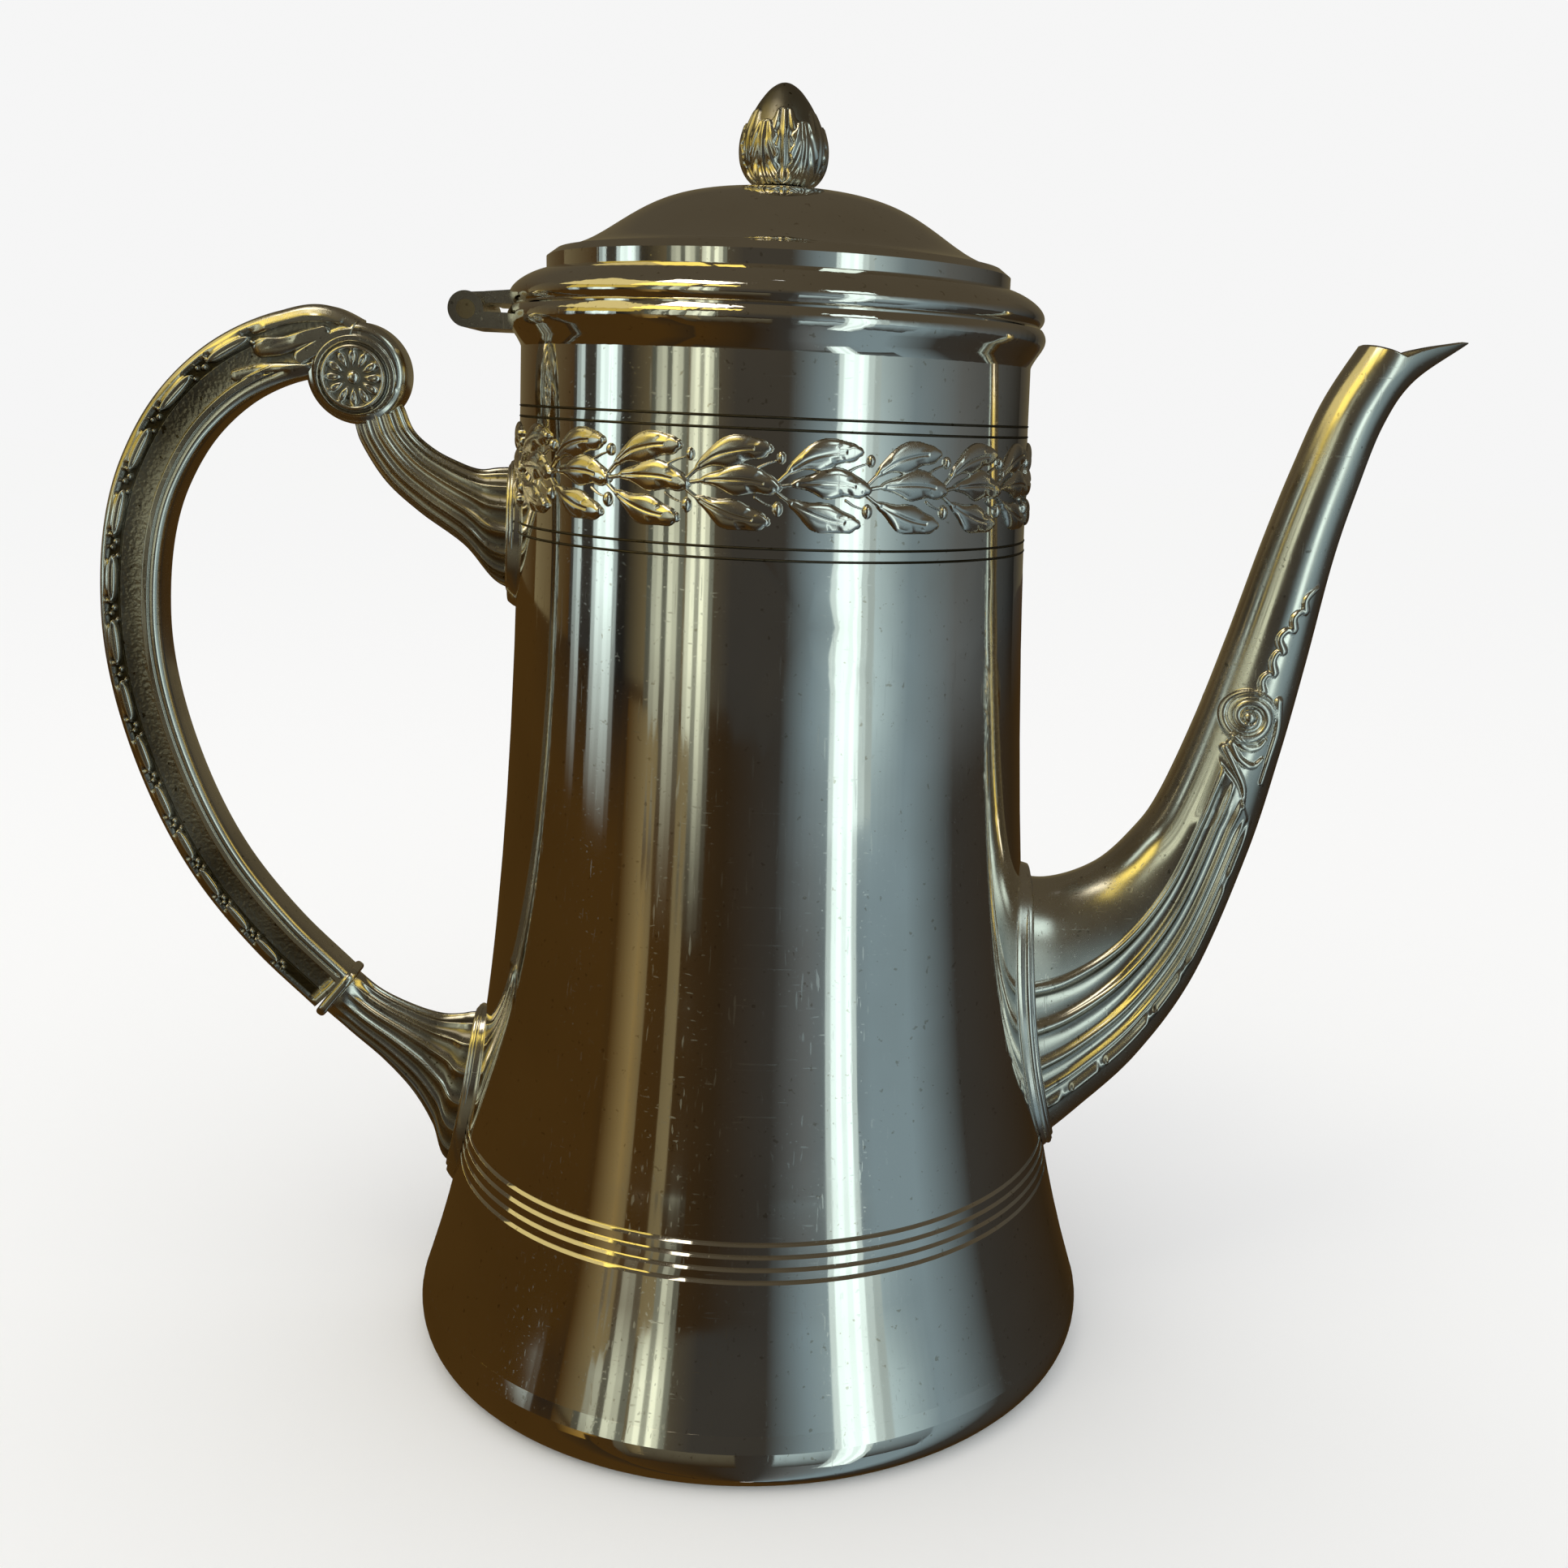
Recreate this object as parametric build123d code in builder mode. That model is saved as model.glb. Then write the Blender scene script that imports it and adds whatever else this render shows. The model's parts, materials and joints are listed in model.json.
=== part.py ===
from build123d import *
import os
from math import cos, exp, hypot, pi, radians, sin

os.makedirs("parts", exist_ok=True)

# Coffee pot with a hinged lid. Millimetres, Z up, origin on the body's axis at the table.
# The spout points to +X, the handle to -X and the front to -Y.

# Body: a round wall that flares towards the foot
body_height = 178.5
body_top_radius = 41.6
body_base_radius = 60.2
flare_length = 60.0
body_wall = 1.0
foot_height = 9.9
wall_stations = 12

# Engraved lines
band_line_count = 4
band_line_pitch = 1.95
band_low_z = 32.9
band_line_depth = 0.45
fine_line_depth = 0.2
fine_line_gap = 1.65

# Foot ring and base plate
foot_belly = 1.1
foot_tread = 1.2
foot_toe_inset = 1.4
base_plate_thickness = 1.0
base_plate_z = 3.0
base_plate_rise = 2.2

# Mouth rim
rim_height = 6.0
rim_belly = 2.2
rim_lip = 1.6

# Leaf frieze
frieze_drop = 25.2
frieze_half_height = 8.4
frieze_relief = 0.8
sprig_count = 20
sprig_lag = 0.4
leaf_length = 11.2
leaf_width = 3.4
side_leaf_angle = 27.0
stem_radius = 0.9
berry_radius = 1.0
berry_sink = 0.25
berry_ahead = 11.9
berry_up = 3.3

# Spout
spout_root_z = 61.0
spout_wall = 1.0
spout_collar_thickness = 1.8
spout_collar_margin = 1.6
spout_boss_radius = 4.0
spout_boss_span = 16.3
strainer_hole = 3.0
strainer_pitch = 5.0
strainer_rows = 7

# Handle
volute_standoff = 26.65
volute_drop = 12.0
volute_radius = 8.1
volute_shift_in = 0.25
volute_shift_up = 0.7
handle_bow = 38.45
handle_depth = 7.2
grip_width = 9.3
grip_top_width = 11.2
ring_z = 60.0
ring_standoff = 26.77
ring_tilt = 39.0
ring_thickness = 1.7
ring_proud = 0.75
panel_margin = 2.0
panel_depth = 0.5
panel_start = 0.03
panel_end = 0.84
handle_edge_radius = 1.8
rosette_radius = 5.2
rosette_petals = 12
rosette_thickness = 1.1

# Handle sockets and their saddles on the wall
socket_flutes = 14
socket_flute_depth = 0.5
socket_collar_thickness = 1.6
socket_collar_margin = 1.0

# Lid
lid_gap = 0.3
lid_wall = 1.0
lid_overhang = 1.9
lid_bead_height = 5.5
lid_bead_wall = 1.9
lid_step_in = 5.9
lid_step_height = 3.3
lid_shoulder = 1.6
lid_dome_height = 10.6
lid_crown_margin = 0.8
bezel_clearance = 0.5
bezel_wall = 0.8
bezel_depth = 5.0

# Hinge
hinge_standoff = 7.9
hinge_drop = 0.8
knuckle_radius = 2.8
knuckle_count = 5
knuckle_length = 3.3
knuckle_gap = 0.2
pin_radius = 1.5
pin_clearance = 0.08
leaf_clearance = 0.3
lid_leaf_rise = 0.8

# Finial
finial_radius = 7.1
finial_height = 16.0
finial_foot_radius = 4.1
stud_radius = 2.0
stud_clearance = 0.1
washer_radius = 4.7
washer_thickness = 0.6
inner_washer_thickness = 0.8
nut_across_flats = 7.0
nut_thickness = 3.0
stud_beyond_nut = 1.0


def body_radius(z):
    """Outside radius of the wall at height z."""
    fall_here = exp(-(z - foot_height) / flare_length)
    fall_at_mouth = exp(-(body_height - foot_height) / flare_length)
    share = (fall_here - fall_at_mouth) / (1 - fall_at_mouth)
    return body_top_radius + (body_base_radius - body_top_radius) * share


def wall_line(outset):
    """The flared line of the wall, moved out by outset, from the foot to the mouth."""
    step = (body_height - foot_height) / wall_stations
    heights = [foot_height + step * i for i in range(wall_stations + 1)]
    return Spline(*[(body_radius(z) + outset, z) for z in heights])


def wall_form(outset):
    """The solid inside the flared line: what is soldered to the wall is cut to it."""
    with BuildPart() as form:
        with BuildSketch(Plane.XZ):
            with BuildLine():
                flare = wall_line(outset)
                Polyline(flare @ 1, (0, body_height), (0, foot_height), flare @ 0)
            make_face()
        revolve(axis=Axis.Z)
    return form.part


def section_plane(upper, lower):
    """Plane across a curved horn, with its x axis from the lower edge to the upper one."""
    length = hypot(upper[0] - lower[0], upper[1] - lower[1])
    across_x = (upper[0] - lower[0]) / length
    across_z = (upper[1] - lower[1]) / length
    middle = ((upper[0] + lower[0]) / 2, 0, (upper[1] + lower[1]) / 2)
    return Plane(origin=middle, x_dir=(across_x, 0, across_z), z_dir=(across_z, 0, -across_x))


def half_span(upper, lower):
    """Half the distance between the two edges of a horn."""
    return hypot(upper[0] - lower[0], upper[1] - lower[1]) / 2


def placed(sections, origin):
    """Sections moved from their own zero to where it lies on the pot."""
    return [
        (
            (upper[0] + origin[0], upper[1] + origin[1]),
            (lower[0] + origin[0], lower[1] + origin[1]),
            depth,
        )
        for upper, lower, depth in sections
    ]


def plain_horn(sections, outset):
    """Oval sections along a horn, moved out by outset: one half lofted, then mirrored."""
    with BuildPart() as horn:
        for upper, lower, depth in sections:
            reach = half_span(upper, lower) + outset
            with BuildSketch(section_plane(upper, lower)):
                with BuildLine():
                    EllipticalCenterArc(
                        (0, 0), reach, depth / 2 + outset, start_angle=0, arc_size=180
                    )
                    Line((-reach, 0), (reach, 0))
                make_face()
        loft()
        mirror(about=Plane.XZ)
    return horn.part


wall_solid = wall_form(0)
frieze_solid = wall_form(frieze_relief)
spout_seat_solid = wall_form(spout_collar_thickness)
socket_seat_solid = wall_form(socket_collar_thickness)

# Body shell
mouth_radius = body_top_radius - body_wall
frieze_z = body_height - frieze_drop
band_lines = [band_low_z + band_line_pitch * i for i in range(band_line_count)]
fine_lines = [
    frieze_z + side * (frieze_half_height + extra)
    for side in (-1, 1)
    for extra in (0, fine_line_gap)
]


def groove(z, depth):
    """A small diamond on the wall line, turned round the axis to cut an engraved line."""
    radius = body_radius(z)
    with BuildSketch() as diamond:
        with BuildLine():
            Polyline(
                (radius - depth, z), (radius, z + depth), (radius + depth, z), (radius, z - depth),
                close=True,
            )
        make_face()
    return diamond.sketch


with BuildPart() as body_shell:
    with BuildSketch(Plane.XZ):
        with BuildLine():
            outside = wall_line(0)
            inside = wall_line(-body_wall)
            Line(outside @ 0, inside @ 0)
            Line(outside @ 1, inside @ 1)
        make_face()
    revolve(axis=Axis.Z)
    with BuildSketch(Plane.XZ):
        for line_z in band_lines:
            add(groove(line_z, band_line_depth))
        for line_z in fine_lines:
            add(groove(line_z, fine_line_depth))
    revolve(axis=Axis.Z, mode=Mode.SUBTRACT)
    with BuildSketch(Plane.YZ):
        for row in range(strainer_rows):
            row_z = spout_root_z + (row - (strainer_rows - 1) / 2) * strainer_pitch
            holes_in_row = 3 if row % 2 == 0 else 2
            for hole in range(holes_in_row):
                hole_y = (hole - (holes_in_row - 1) / 2) * strainer_pitch
                with Locations((hole_y, row_z)):
                    Circle(strainer_hole / 2)
    extrude(amount=body_base_radius, mode=Mode.SUBTRACT)
body_shell.part.label = "body_shell"
export_step(body_shell.part, "parts/body_shell.step")


# Foot ring: a belly under the wall's edge, hollow inside, with a flat tread
foot_toe_radius = body_base_radius - foot_toe_inset
foot_top_inner_radius = body_base_radius - body_wall


def foot_inner_radius(z):
    """Inside radius of the foot ring at height z."""
    low = foot_toe_radius - foot_tread
    return low + (foot_top_inner_radius - low) * z / foot_height


with BuildPart() as foot_ring:
    with BuildSketch(Plane.XZ):
        with BuildLine():
            step_point = (body_base_radius + 0.8 * foot_belly, 0.73 * foot_height)
            belly_point = (body_base_radius + foot_belly, 0.55 * foot_height)
            heel_point = (body_base_radius + 0.1 * foot_belly, 0.17 * foot_height)
            Line((body_base_radius, foot_height), step_point)
            Spline(step_point, belly_point, heel_point, (foot_toe_radius, 0))
            Polyline(
                (foot_toe_radius, 0), (foot_inner_radius(0), 0),
                (foot_top_inner_radius, foot_height), (body_base_radius, foot_height),
            )
        make_face()
    revolve(axis=Axis.Z)
foot_ring.part.label = "foot_ring"
export_step(foot_ring.part, "parts/foot_ring.step")

# Base plate: a shallow dome whose edge fits the inside of the foot ring
with BuildPart() as base_plate:
    with BuildSketch(Plane.XZ):
        with BuildLine():
            plate_low = (foot_inner_radius(base_plate_z), base_plate_z)
            plate_top_z = base_plate_z + base_plate_thickness
            plate_high = (foot_inner_radius(plate_top_z), plate_top_z)
            Line(plate_low, plate_high)
            TangentArc(
                (0, plate_top_z + base_plate_rise), plate_high,
                tangent=(1, 0), tangent_from_first=True,
            )
            Line((0, plate_top_z + base_plate_rise), (0, base_plate_z + base_plate_rise))
            TangentArc(
                (0, base_plate_z + base_plate_rise), plate_low,
                tangent=(1, 0), tangent_from_first=True,
            )
        make_face()
    revolve(axis=Axis.Z)
base_plate.part.label = "base_plate"
export_step(base_plate.part, "parts/base_plate.step")


# Mouth rim: a moulding round the top of the wall
rim_low_z = body_height - rim_height


def rim_outline():
    """Outer line of the mouth rim, from its foot on the wall to its top."""
    return Spline(
        (body_radius(rim_low_z), rim_low_z),
        (body_top_radius + 0.45 * rim_belly, rim_low_z + 0.28 * rim_height),
        (body_top_radius + rim_belly, rim_low_z + 0.64 * rim_height),
        (body_top_radius + rim_lip, body_height),
    )


with BuildPart() as rim_form:
    with BuildSketch(Plane.XZ):
        with BuildLine():
            moulding = rim_outline()
            Polyline(moulding @ 1, (0, body_height), (0, rim_low_z), moulding @ 0)
        make_face()
    revolve(axis=Axis.Z)

with BuildPart() as mouth_rim:
    add(rim_form.part)
    add(wall_solid, mode=Mode.SUBTRACT)
mouth_rim.part.label = "mouth_rim"
export_step(mouth_rim.part, "parts/mouth_rim.step")


# Spout: sections across the horn, each with its upper edge, its lower edge and its depth.
# Edges are given outwards from the wall and upwards from the spout's root.
spout_root_x = body_radius(spout_root_z)
spout_sections = [
    ((-6.9, 24.5), (1.7, -29.5), 28.0),
    ((2.2, 23.2), (10.7, -21.2), 25.0),
    ((11.2, 26.5), (21.2, -10.3), 21.0),
    ((17.7, 33.0), (30.7, 5.5), 18.5),
    ((21.7, 39.5), (38.4, 29.0), 16.5),
    ((26.7, 53.0), (42.5, 47.5), 14.5),
    ((31.2, 68.0), (45.4, 64.0), 13.0),
    ((35.7, 84.5), (48.2, 82.0), 12.0),
    ((39.7, 97.5), (51.1, 94.5), 11.5),
    ((43.9, 109.0), (54.2, 105.0), 11.0),
    ((50.2, 120.0), (58.5, 112.3), 10.6),
    ((56.2, 130.0), (67.4, 119.0), 5.0),
]
mouth_back = [(45.2, 118.1), (50.2, 117.8), (52.7, 117.2), (55.5, 116.2)]
mouth_lip = [(55.5, 116.2), (58.2, 117.3), (61.2, 118.1), (67.7, 119.3)]
boss_place = (34.5, 55.2)


def spout_point(out, up):
    """A point of the spout's side view."""
    return (spout_root_x + out, spout_root_z + up)


placed_spout = placed(spout_sections, (spout_root_x, spout_root_z))
spout_outside = plain_horn(placed_spout, 0)
spout_bore = plain_horn(placed_spout, -spout_wall)
spout_saddle = plain_horn(placed_spout, spout_collar_margin)

with BuildPart() as spout:
    add(spout_outside)
    with BuildSketch(Plane.XZ):
        with Locations(spout_point(*boss_place)):
            Circle(spout_boss_radius)
    extrude(amount=spout_boss_span / 2, both=True)
    add(spout_bore, mode=Mode.SUBTRACT)
    add(spout_seat_solid, mode=Mode.SUBTRACT)
    with BuildSketch(Plane.XZ):
        with BuildLine():
            back = Spline(*[spout_point(*point) for point in mouth_back])
            lip = Spline(*[spout_point(*point) for point in mouth_lip])
            head_room = spout_sections[-1][0][1] + spout_root_z
            Polyline(lip @ 1, ((lip @ 1).X, head_room), ((back @ 0).X, head_room), back @ 0)
        make_face()
    extrude(amount=spout_boss_span / 2, both=True, mode=Mode.SUBTRACT)
spout.part.label = "spout"
export_step(spout.part, "parts/spout.step")

# Spout collar: an oval saddle on the wall, open to the spout's bore
with BuildPart() as spout_collar:
    add(spout_saddle)
    add(spout_seat_solid, mode=Mode.INTERSECT)
    add(wall_solid, mode=Mode.SUBTRACT)
    add(spout_bore, mode=Mode.SUBTRACT)
spout_collar.part.label = "spout_collar"
export_step(spout_collar.part, "parts/spout_collar.step")


# Handle: a bowed grip that ends in a volute, on the centre line of the pot
volute_z = body_height - volute_drop
volute_x = -(body_radius(volute_z) + volute_standoff)
ring_x = -(body_radius(ring_z) + ring_standoff)
ring_heading = (-cos(radians(ring_tilt)), sin(radians(ring_tilt)))
ring_across = (sin(radians(ring_tilt)), cos(radians(ring_tilt)))
grip_stations = 14
bow_points = [
    (0.458, 0.1), (0.7, 0.221), (0.882, 0.371), (1.0, 0.629), (0.88, 0.843),
    (0.713, 0.939), (0.486, 1.009), (0.268, 1.043), (0.125, 1.052), (0.037, 1.038),
]


def ring_point(along, across):
    """A point near the ring: along the grip's heading, and across it."""
    return (
        ring_x + along * ring_heading[0] + across * ring_across[0],
        ring_z + along * ring_heading[1] + across * ring_across[1],
    )


def bow_point(out, up):
    """A point of the grip's middle line: out as a share of the bow, up from ring to volute."""
    return (volute_x - out * handle_bow, ring_z + up * (volute_z - ring_z))


with BuildLine() as grip:
    Spline(
        ring_point(ring_thickness / 2, 0),
        *[bow_point(out, up) for out, up in bow_points],
        tangents=[ring_heading, (1, -0.35)],
    )


def grip_strip(margin, first, last):
    """The face along the grip's middle line between two shares of its length.

    The grip widens from the ring to the arch; the margin is kept free along both edges.
    """
    sides = []
    for side in (-1, 1):
        points = []
        for station in range(grip_stations + 1):
            share = first + (last - first) * station / grip_stations
            spot = grip.line @ share
            heading = grip.line % share
            width = grip_width + (grip_top_width - grip_width) * share**2
            half_width = width / 2 - margin
            points.append(
                (spot.X - side * heading.Y * half_width, spot.Y + side * heading.X * half_width)
            )
        sides.append(points)
    with BuildSketch() as strip:
        with BuildLine():
            inner = Spline(*sides[0])
            outer = Spline(*sides[1])
            Line(inner @ 0, outer @ 0)
            Line(inner @ 1, outer @ 1)
        make_face()
    return strip.sketch


def rounded_slab(outline):
    """The handle's depth of one outline, with its long edges rounded."""
    with BuildPart() as slab:
        with BuildSketch(Plane.XZ):
            add(outline)
        extrude(amount=handle_depth / 2, both=True)
        rims = slab.faces().filter_by(Axis.Y).edges().filter_by(GeomType.LINE, reverse=True)
        fillet(rims, radius=min(handle_edge_radius, handle_depth / 4))
    return slab.part


with BuildSketch() as volute_outline:
    with Locations((volute_x + volute_shift_in, volute_z + volute_shift_up)):
        Circle(volute_radius)

grip_slab = rounded_slab(grip_strip(0, 0, 1))
volute_slab = rounded_slab(volute_outline.sketch)

with BuildPart() as handle_scroll:
    add(grip_slab)
    add(volute_slab)
    for side in (-1, 1):
        with BuildSketch(Plane.XZ.offset(side * handle_depth / 2)):
            add(grip_strip(panel_margin, panel_start, panel_end))
        extrude(amount=-side * panel_depth, mode=Mode.SUBTRACT)
handle_scroll.part.label = "handle_scroll"
export_step(handle_scroll.part, "parts/handle_scroll.step")


# Handle ring: a plain ring between the grip and the lower socket
ring_plane = Plane(
    origin=(ring_x, 0, ring_z),
    x_dir=(ring_across[0], 0, ring_across[1]),
    z_dir=(ring_heading[0], 0, ring_heading[1]),
)
with BuildPart() as handle_ring:
    with BuildSketch(ring_plane.offset(-ring_thickness / 2)):
        RectangleRounded(
            grip_width + 2 * ring_proud, handle_depth + 2 * ring_proud,
            handle_edge_radius + ring_proud,
        )
    extrude(amount=ring_thickness)
    ring_axis = Axis(ring_plane.origin, ring_plane.z_dir)
    ring_rims = handle_ring.edges().filter_by(ring_axis, reverse=True)
    fillet(ring_rims, radius=0.45 * min(ring_thickness, 2 * ring_proud))
handle_ring.part.label = "handle_ring"
export_step(handle_ring.part, "parts/handle_ring.step")


def rosette(face_plane):
    """A flower in a round frame, standing on one side of the volute."""
    with BuildPart() as flower:
        with BuildSketch(face_plane):
            Circle(rosette_radius)
        extrude(amount=rosette_thickness)
        with BuildSketch(face_plane.offset(0.4 * rosette_thickness)):
            Circle(0.86 * rosette_radius)
        extrude(amount=rosette_thickness, mode=Mode.SUBTRACT)
        with BuildSketch(face_plane):
            with PolarLocations(0.56 * rosette_radius, rosette_petals):
                Ellipse(0.25 * rosette_radius, 0.115 * rosette_radius)
            Circle(0.22 * rosette_radius)
        extrude(amount=0.9 * rosette_thickness)
    return flower


front_face = Plane(
    origin=(volute_x, -handle_depth / 2, volute_z), x_dir=(1, 0, 0), z_dir=(0, -1, 0)
)
back_face = Plane(
    origin=(volute_x, handle_depth / 2, volute_z), x_dir=(-1, 0, 0), z_dir=(0, 1, 0)
)
handle_rosette_front = rosette(front_face)
handle_rosette_front.part.label = "handle_rosette_front"
export_step(handle_rosette_front.part, "parts/handle_rosette_front.step")
handle_rosette_back = rosette(back_face)
handle_rosette_back.part.label = "handle_rosette_back"
export_step(handle_rosette_back.part, "parts/handle_rosette_back.step")

# Sockets: fluted horns, sections given as upper edge, lower edge and depth.
# The upper socket is measured from the volute's centre, the lower one from the ring's.
upper_socket_sections = [
    ((4.8, -0.1), (-2.8, -2.3), 6.4),
    ((7.0, -4.0), (-1.2, -6.5), 7.2),
    ((8.7, -8.0), (0.0, -10.5), 7.8),
    ((11.7, -10.7), (3.8, -16.5), 8.8),
    ((15.2, -12.5), (9.3, -21.4), 10.2),
    ((19.2, -13.8), (16.5, -26.5), 12.2),
    ((22.9, -13.4), (22.3, -32.8), 13.8),
    ((29.8, -13.0), (29.8, -34.0), 14.0),
]
lower_socket_sections = [
    ((7.7, -0.3), (1.7, -8.1), 8.0),
    ((13.4, -3.1), (7.5, -13.5), 9.2),
    ((18.0, -4.4), (12.5, -19.5), 11.0),
    ((21.5, -4.3), (16.0, -26.0), 13.2),
    ((24.3, -3.9), (18.3, -33.0), 15.6),
    ((31.0, -3.9), (24.5, -35.0), 16.4),
]


def fluted_horn(sections):
    """Scalloped sections along a horn: one half lofted, then mirrored."""
    with BuildPart() as horn:
        for upper, lower, depth in sections:
            reach = half_span(upper, lower)
            with BuildSketch(section_plane(upper, lower)):
                with BuildLine():
                    points = []
                    for step in range(socket_flutes + 1):
                        angle = pi * step / socket_flutes
                        inset = socket_flute_depth if step % 2 else 0
                        points.append(
                            ((reach - inset) * cos(angle), (depth / 2 - inset) * sin(angle))
                        )
                    scallops = Spline(*points)
                    Line(scallops @ 1, scallops @ 0)
                make_face()
        loft()
        mirror(about=Plane.XZ)
    return horn.part


ring_face_sections = [
    (
        ring_point(-ring_thickness / 2, grip_width / 2),
        ring_point(-ring_thickness / 2, -grip_width / 2),
        handle_depth,
    )
]
placed_upper_socket = placed(upper_socket_sections, (volute_x, volute_z))
placed_lower_socket = placed(lower_socket_sections, (ring_x, ring_z))
upper_socket_horn = fluted_horn(placed_upper_socket)
lower_socket_horn = fluted_horn(ring_face_sections + placed_lower_socket)

with BuildPart() as upper_socket:
    add(upper_socket_horn)
    add(socket_seat_solid, mode=Mode.SUBTRACT)
    add(handle_scroll.part, mode=Mode.SUBTRACT)
upper_socket.part.label = "upper_socket"
export_step(upper_socket.part, "parts/upper_socket.step")

with BuildPart() as lower_socket:
    add(lower_socket_horn)
    add(socket_seat_solid, mode=Mode.SUBTRACT)
lower_socket.part.label = "lower_socket"
export_step(lower_socket.part, "parts/lower_socket.step")


upper_saddle = plain_horn(placed_upper_socket, socket_collar_margin)
lower_saddle = plain_horn(placed_lower_socket, socket_collar_margin)

with BuildPart() as upper_socket_collar:
    add(upper_saddle)
    add(socket_seat_solid, mode=Mode.INTERSECT)
    add(wall_solid, mode=Mode.SUBTRACT)
upper_socket_collar.part.label = "upper_socket_collar"
export_step(upper_socket_collar.part, "parts/upper_socket_collar.step")

with BuildPart() as lower_socket_collar:
    add(lower_saddle)
    add(socket_seat_solid, mode=Mode.INTERSECT)
    add(wall_solid, mode=Mode.SUBTRACT)
lower_socket_collar.part.label = "lower_socket_collar"
export_step(lower_socket_collar.part, "parts/lower_socket_collar.step")

# Leaf frieze: sprigs of three lobed leaves, each sprig starting behind the last one's tip
frieze_radius = body_radius(frieze_z)
sprig_turn = (leaf_length / 2 - sprig_lag) / frieze_radius * 180 / pi


def leaf_outline(length, width, turn):
    """One leaf from its stem at the origin to its round tip, turned from +X."""
    half = width / 2
    with BuildSketch() as leaf:
        with BuildLine():
            upper = Spline(
                (0, 0.1 * half), (0.3 * length, 0.62 * half), (0.45 * length, 0.5 * half),
                (0.66 * length, half), (0.8 * length, 0.85 * half), (length, 0),
            )
            mirror(upper, about=Plane.XZ)
            Line((0, 0.1 * half), (0, -0.1 * half))
        make_face()
    return leaf.sketch.rotate(Axis.Z, turn)


with BuildPart() as sprig:
    with BuildSketch(Plane.XZ.offset(frieze_radius + 2 * frieze_relief)):
        with Locations((-leaf_length / 2, frieze_z)):
            for turn in (-side_leaf_angle, 0, side_leaf_angle):
                add(leaf_outline(leaf_length, leaf_width, turn))
            Circle(stem_radius)
    extrude(amount=-4 * frieze_relief)
    add(frieze_solid, mode=Mode.INTERSECT)
    add(wall_solid, mode=Mode.SUBTRACT)

with BuildPart() as leaf_frieze:
    with PolarLocations(0, sprig_count, start_angle=sprig_turn):
        add(sprig.part)
    add(upper_socket_collar.part, mode=Mode.SUBTRACT)
leaf_frieze.part.label = "leaf_frieze"
export_step(leaf_frieze.part, "parts/leaf_frieze.step")

# Berries: small domes in pairs, one above and one below each middle leaf's tip
berry_turn = (berry_ahead - sprig_lag) / frieze_radius * 180 / pi - 90
with BuildPart() as berry_pair:
    for side in (-1, 1):
        berry_z = frieze_z + side * berry_up
        with Locations((body_radius(berry_z) - berry_sink, 0, berry_z)):
            Sphere(berry_radius)
    add(wall_solid, mode=Mode.SUBTRACT)

with BuildPart() as frieze_berries:
    with PolarLocations(0, sprig_count, start_angle=berry_turn):
        add(berry_pair.part)
    add(upper_socket_collar.part, mode=Mode.SUBTRACT)
frieze_berries.part.label = "frieze_berries"
export_step(frieze_berries.part, "parts/frieze_berries.step")


# Lid: a bead over the mouth, a short step and a domed middle with a flat crown
lid_low_z = body_height + lid_gap
bead_radius = body_top_radius + lid_overhang
step_radius = bead_radius - lid_step_in
bead_top_z = lid_low_z + lid_bead_height
step_top_z = bead_top_z + lid_step_height
crown_z = step_top_z + lid_dome_height
lip_radius = bead_radius - lid_bead_wall
lid_crown_radius = washer_radius + lid_crown_margin
dome_shares = [(0.851, 0.113), (0.691, 0.453), (0.532, 0.77), (0.372, 0.943)]


def dome_line(inset):
    """The domed part of the lid from its step to its crown, drawn in by inset."""
    rim_radius = step_radius - inset
    return Spline(
        (rim_radius - lid_shoulder, step_top_z - inset),
        *[(share * rim_radius, step_top_z - inset + up * lid_dome_height) for share, up in dome_shares],
        (lid_crown_radius, crown_z - inset),
    )


def lid_outline():
    """Outer line of the lid from its lower edge to the middle of the crown."""
    bead = Spline(
        (bead_radius - 0.12 * lid_step_in, lid_low_z),
        (bead_radius, lid_low_z + 0.26 * lid_bead_height),
        (bead_radius - 0.25 * lid_step_in, lid_low_z + 0.66 * lid_bead_height),
        (step_radius + 0.03 * lid_step_in, bead_top_z),
    )
    dome = dome_line(0)
    Polyline(
        bead @ 1, (step_radius, bead_top_z),
        (step_radius, step_top_z - 0.36 * lid_step_height), dome @ 0,
    )
    Line(dome @ 1, (0, crown_z))
    return bead @ 0


with BuildPart() as lid_form:
    with BuildSketch(Plane.XZ):
        with BuildLine():
            lower_edge = lid_outline()
            Polyline((0, crown_z), (0, lid_low_z), lower_edge)
        make_face()
    revolve(axis=Axis.Z)

with BuildPart() as lid_dome:
    with BuildSketch(Plane.XZ):
        with BuildLine():
            lower_edge = lid_outline()
            under_dome = dome_line(lid_wall)
            Polyline(
                lower_edge, (lip_radius, lid_low_z), (lip_radius, lid_low_z + 1.7 * lid_wall),
                (step_radius + 1.3 * lid_wall, bead_top_z - 1.4 * lid_wall),
                (step_radius - lid_wall, bead_top_z - 0.9 * lid_wall),
                (step_radius - lid_wall, step_top_z - 1.4 * lid_wall), under_dome @ 0,
            )
            Polyline(under_dome @ 1, (0, crown_z - lid_wall), (0, crown_z))
        make_face()
    revolve(axis=Axis.Z)
    with Locations((0, 0, crown_z)):
        Hole(stud_radius + stud_clearance, depth=2 * lid_wall)
lid_dome.part.label = "lid_dome"
export_step(lid_dome.part, "parts/lid_dome.step")

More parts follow.
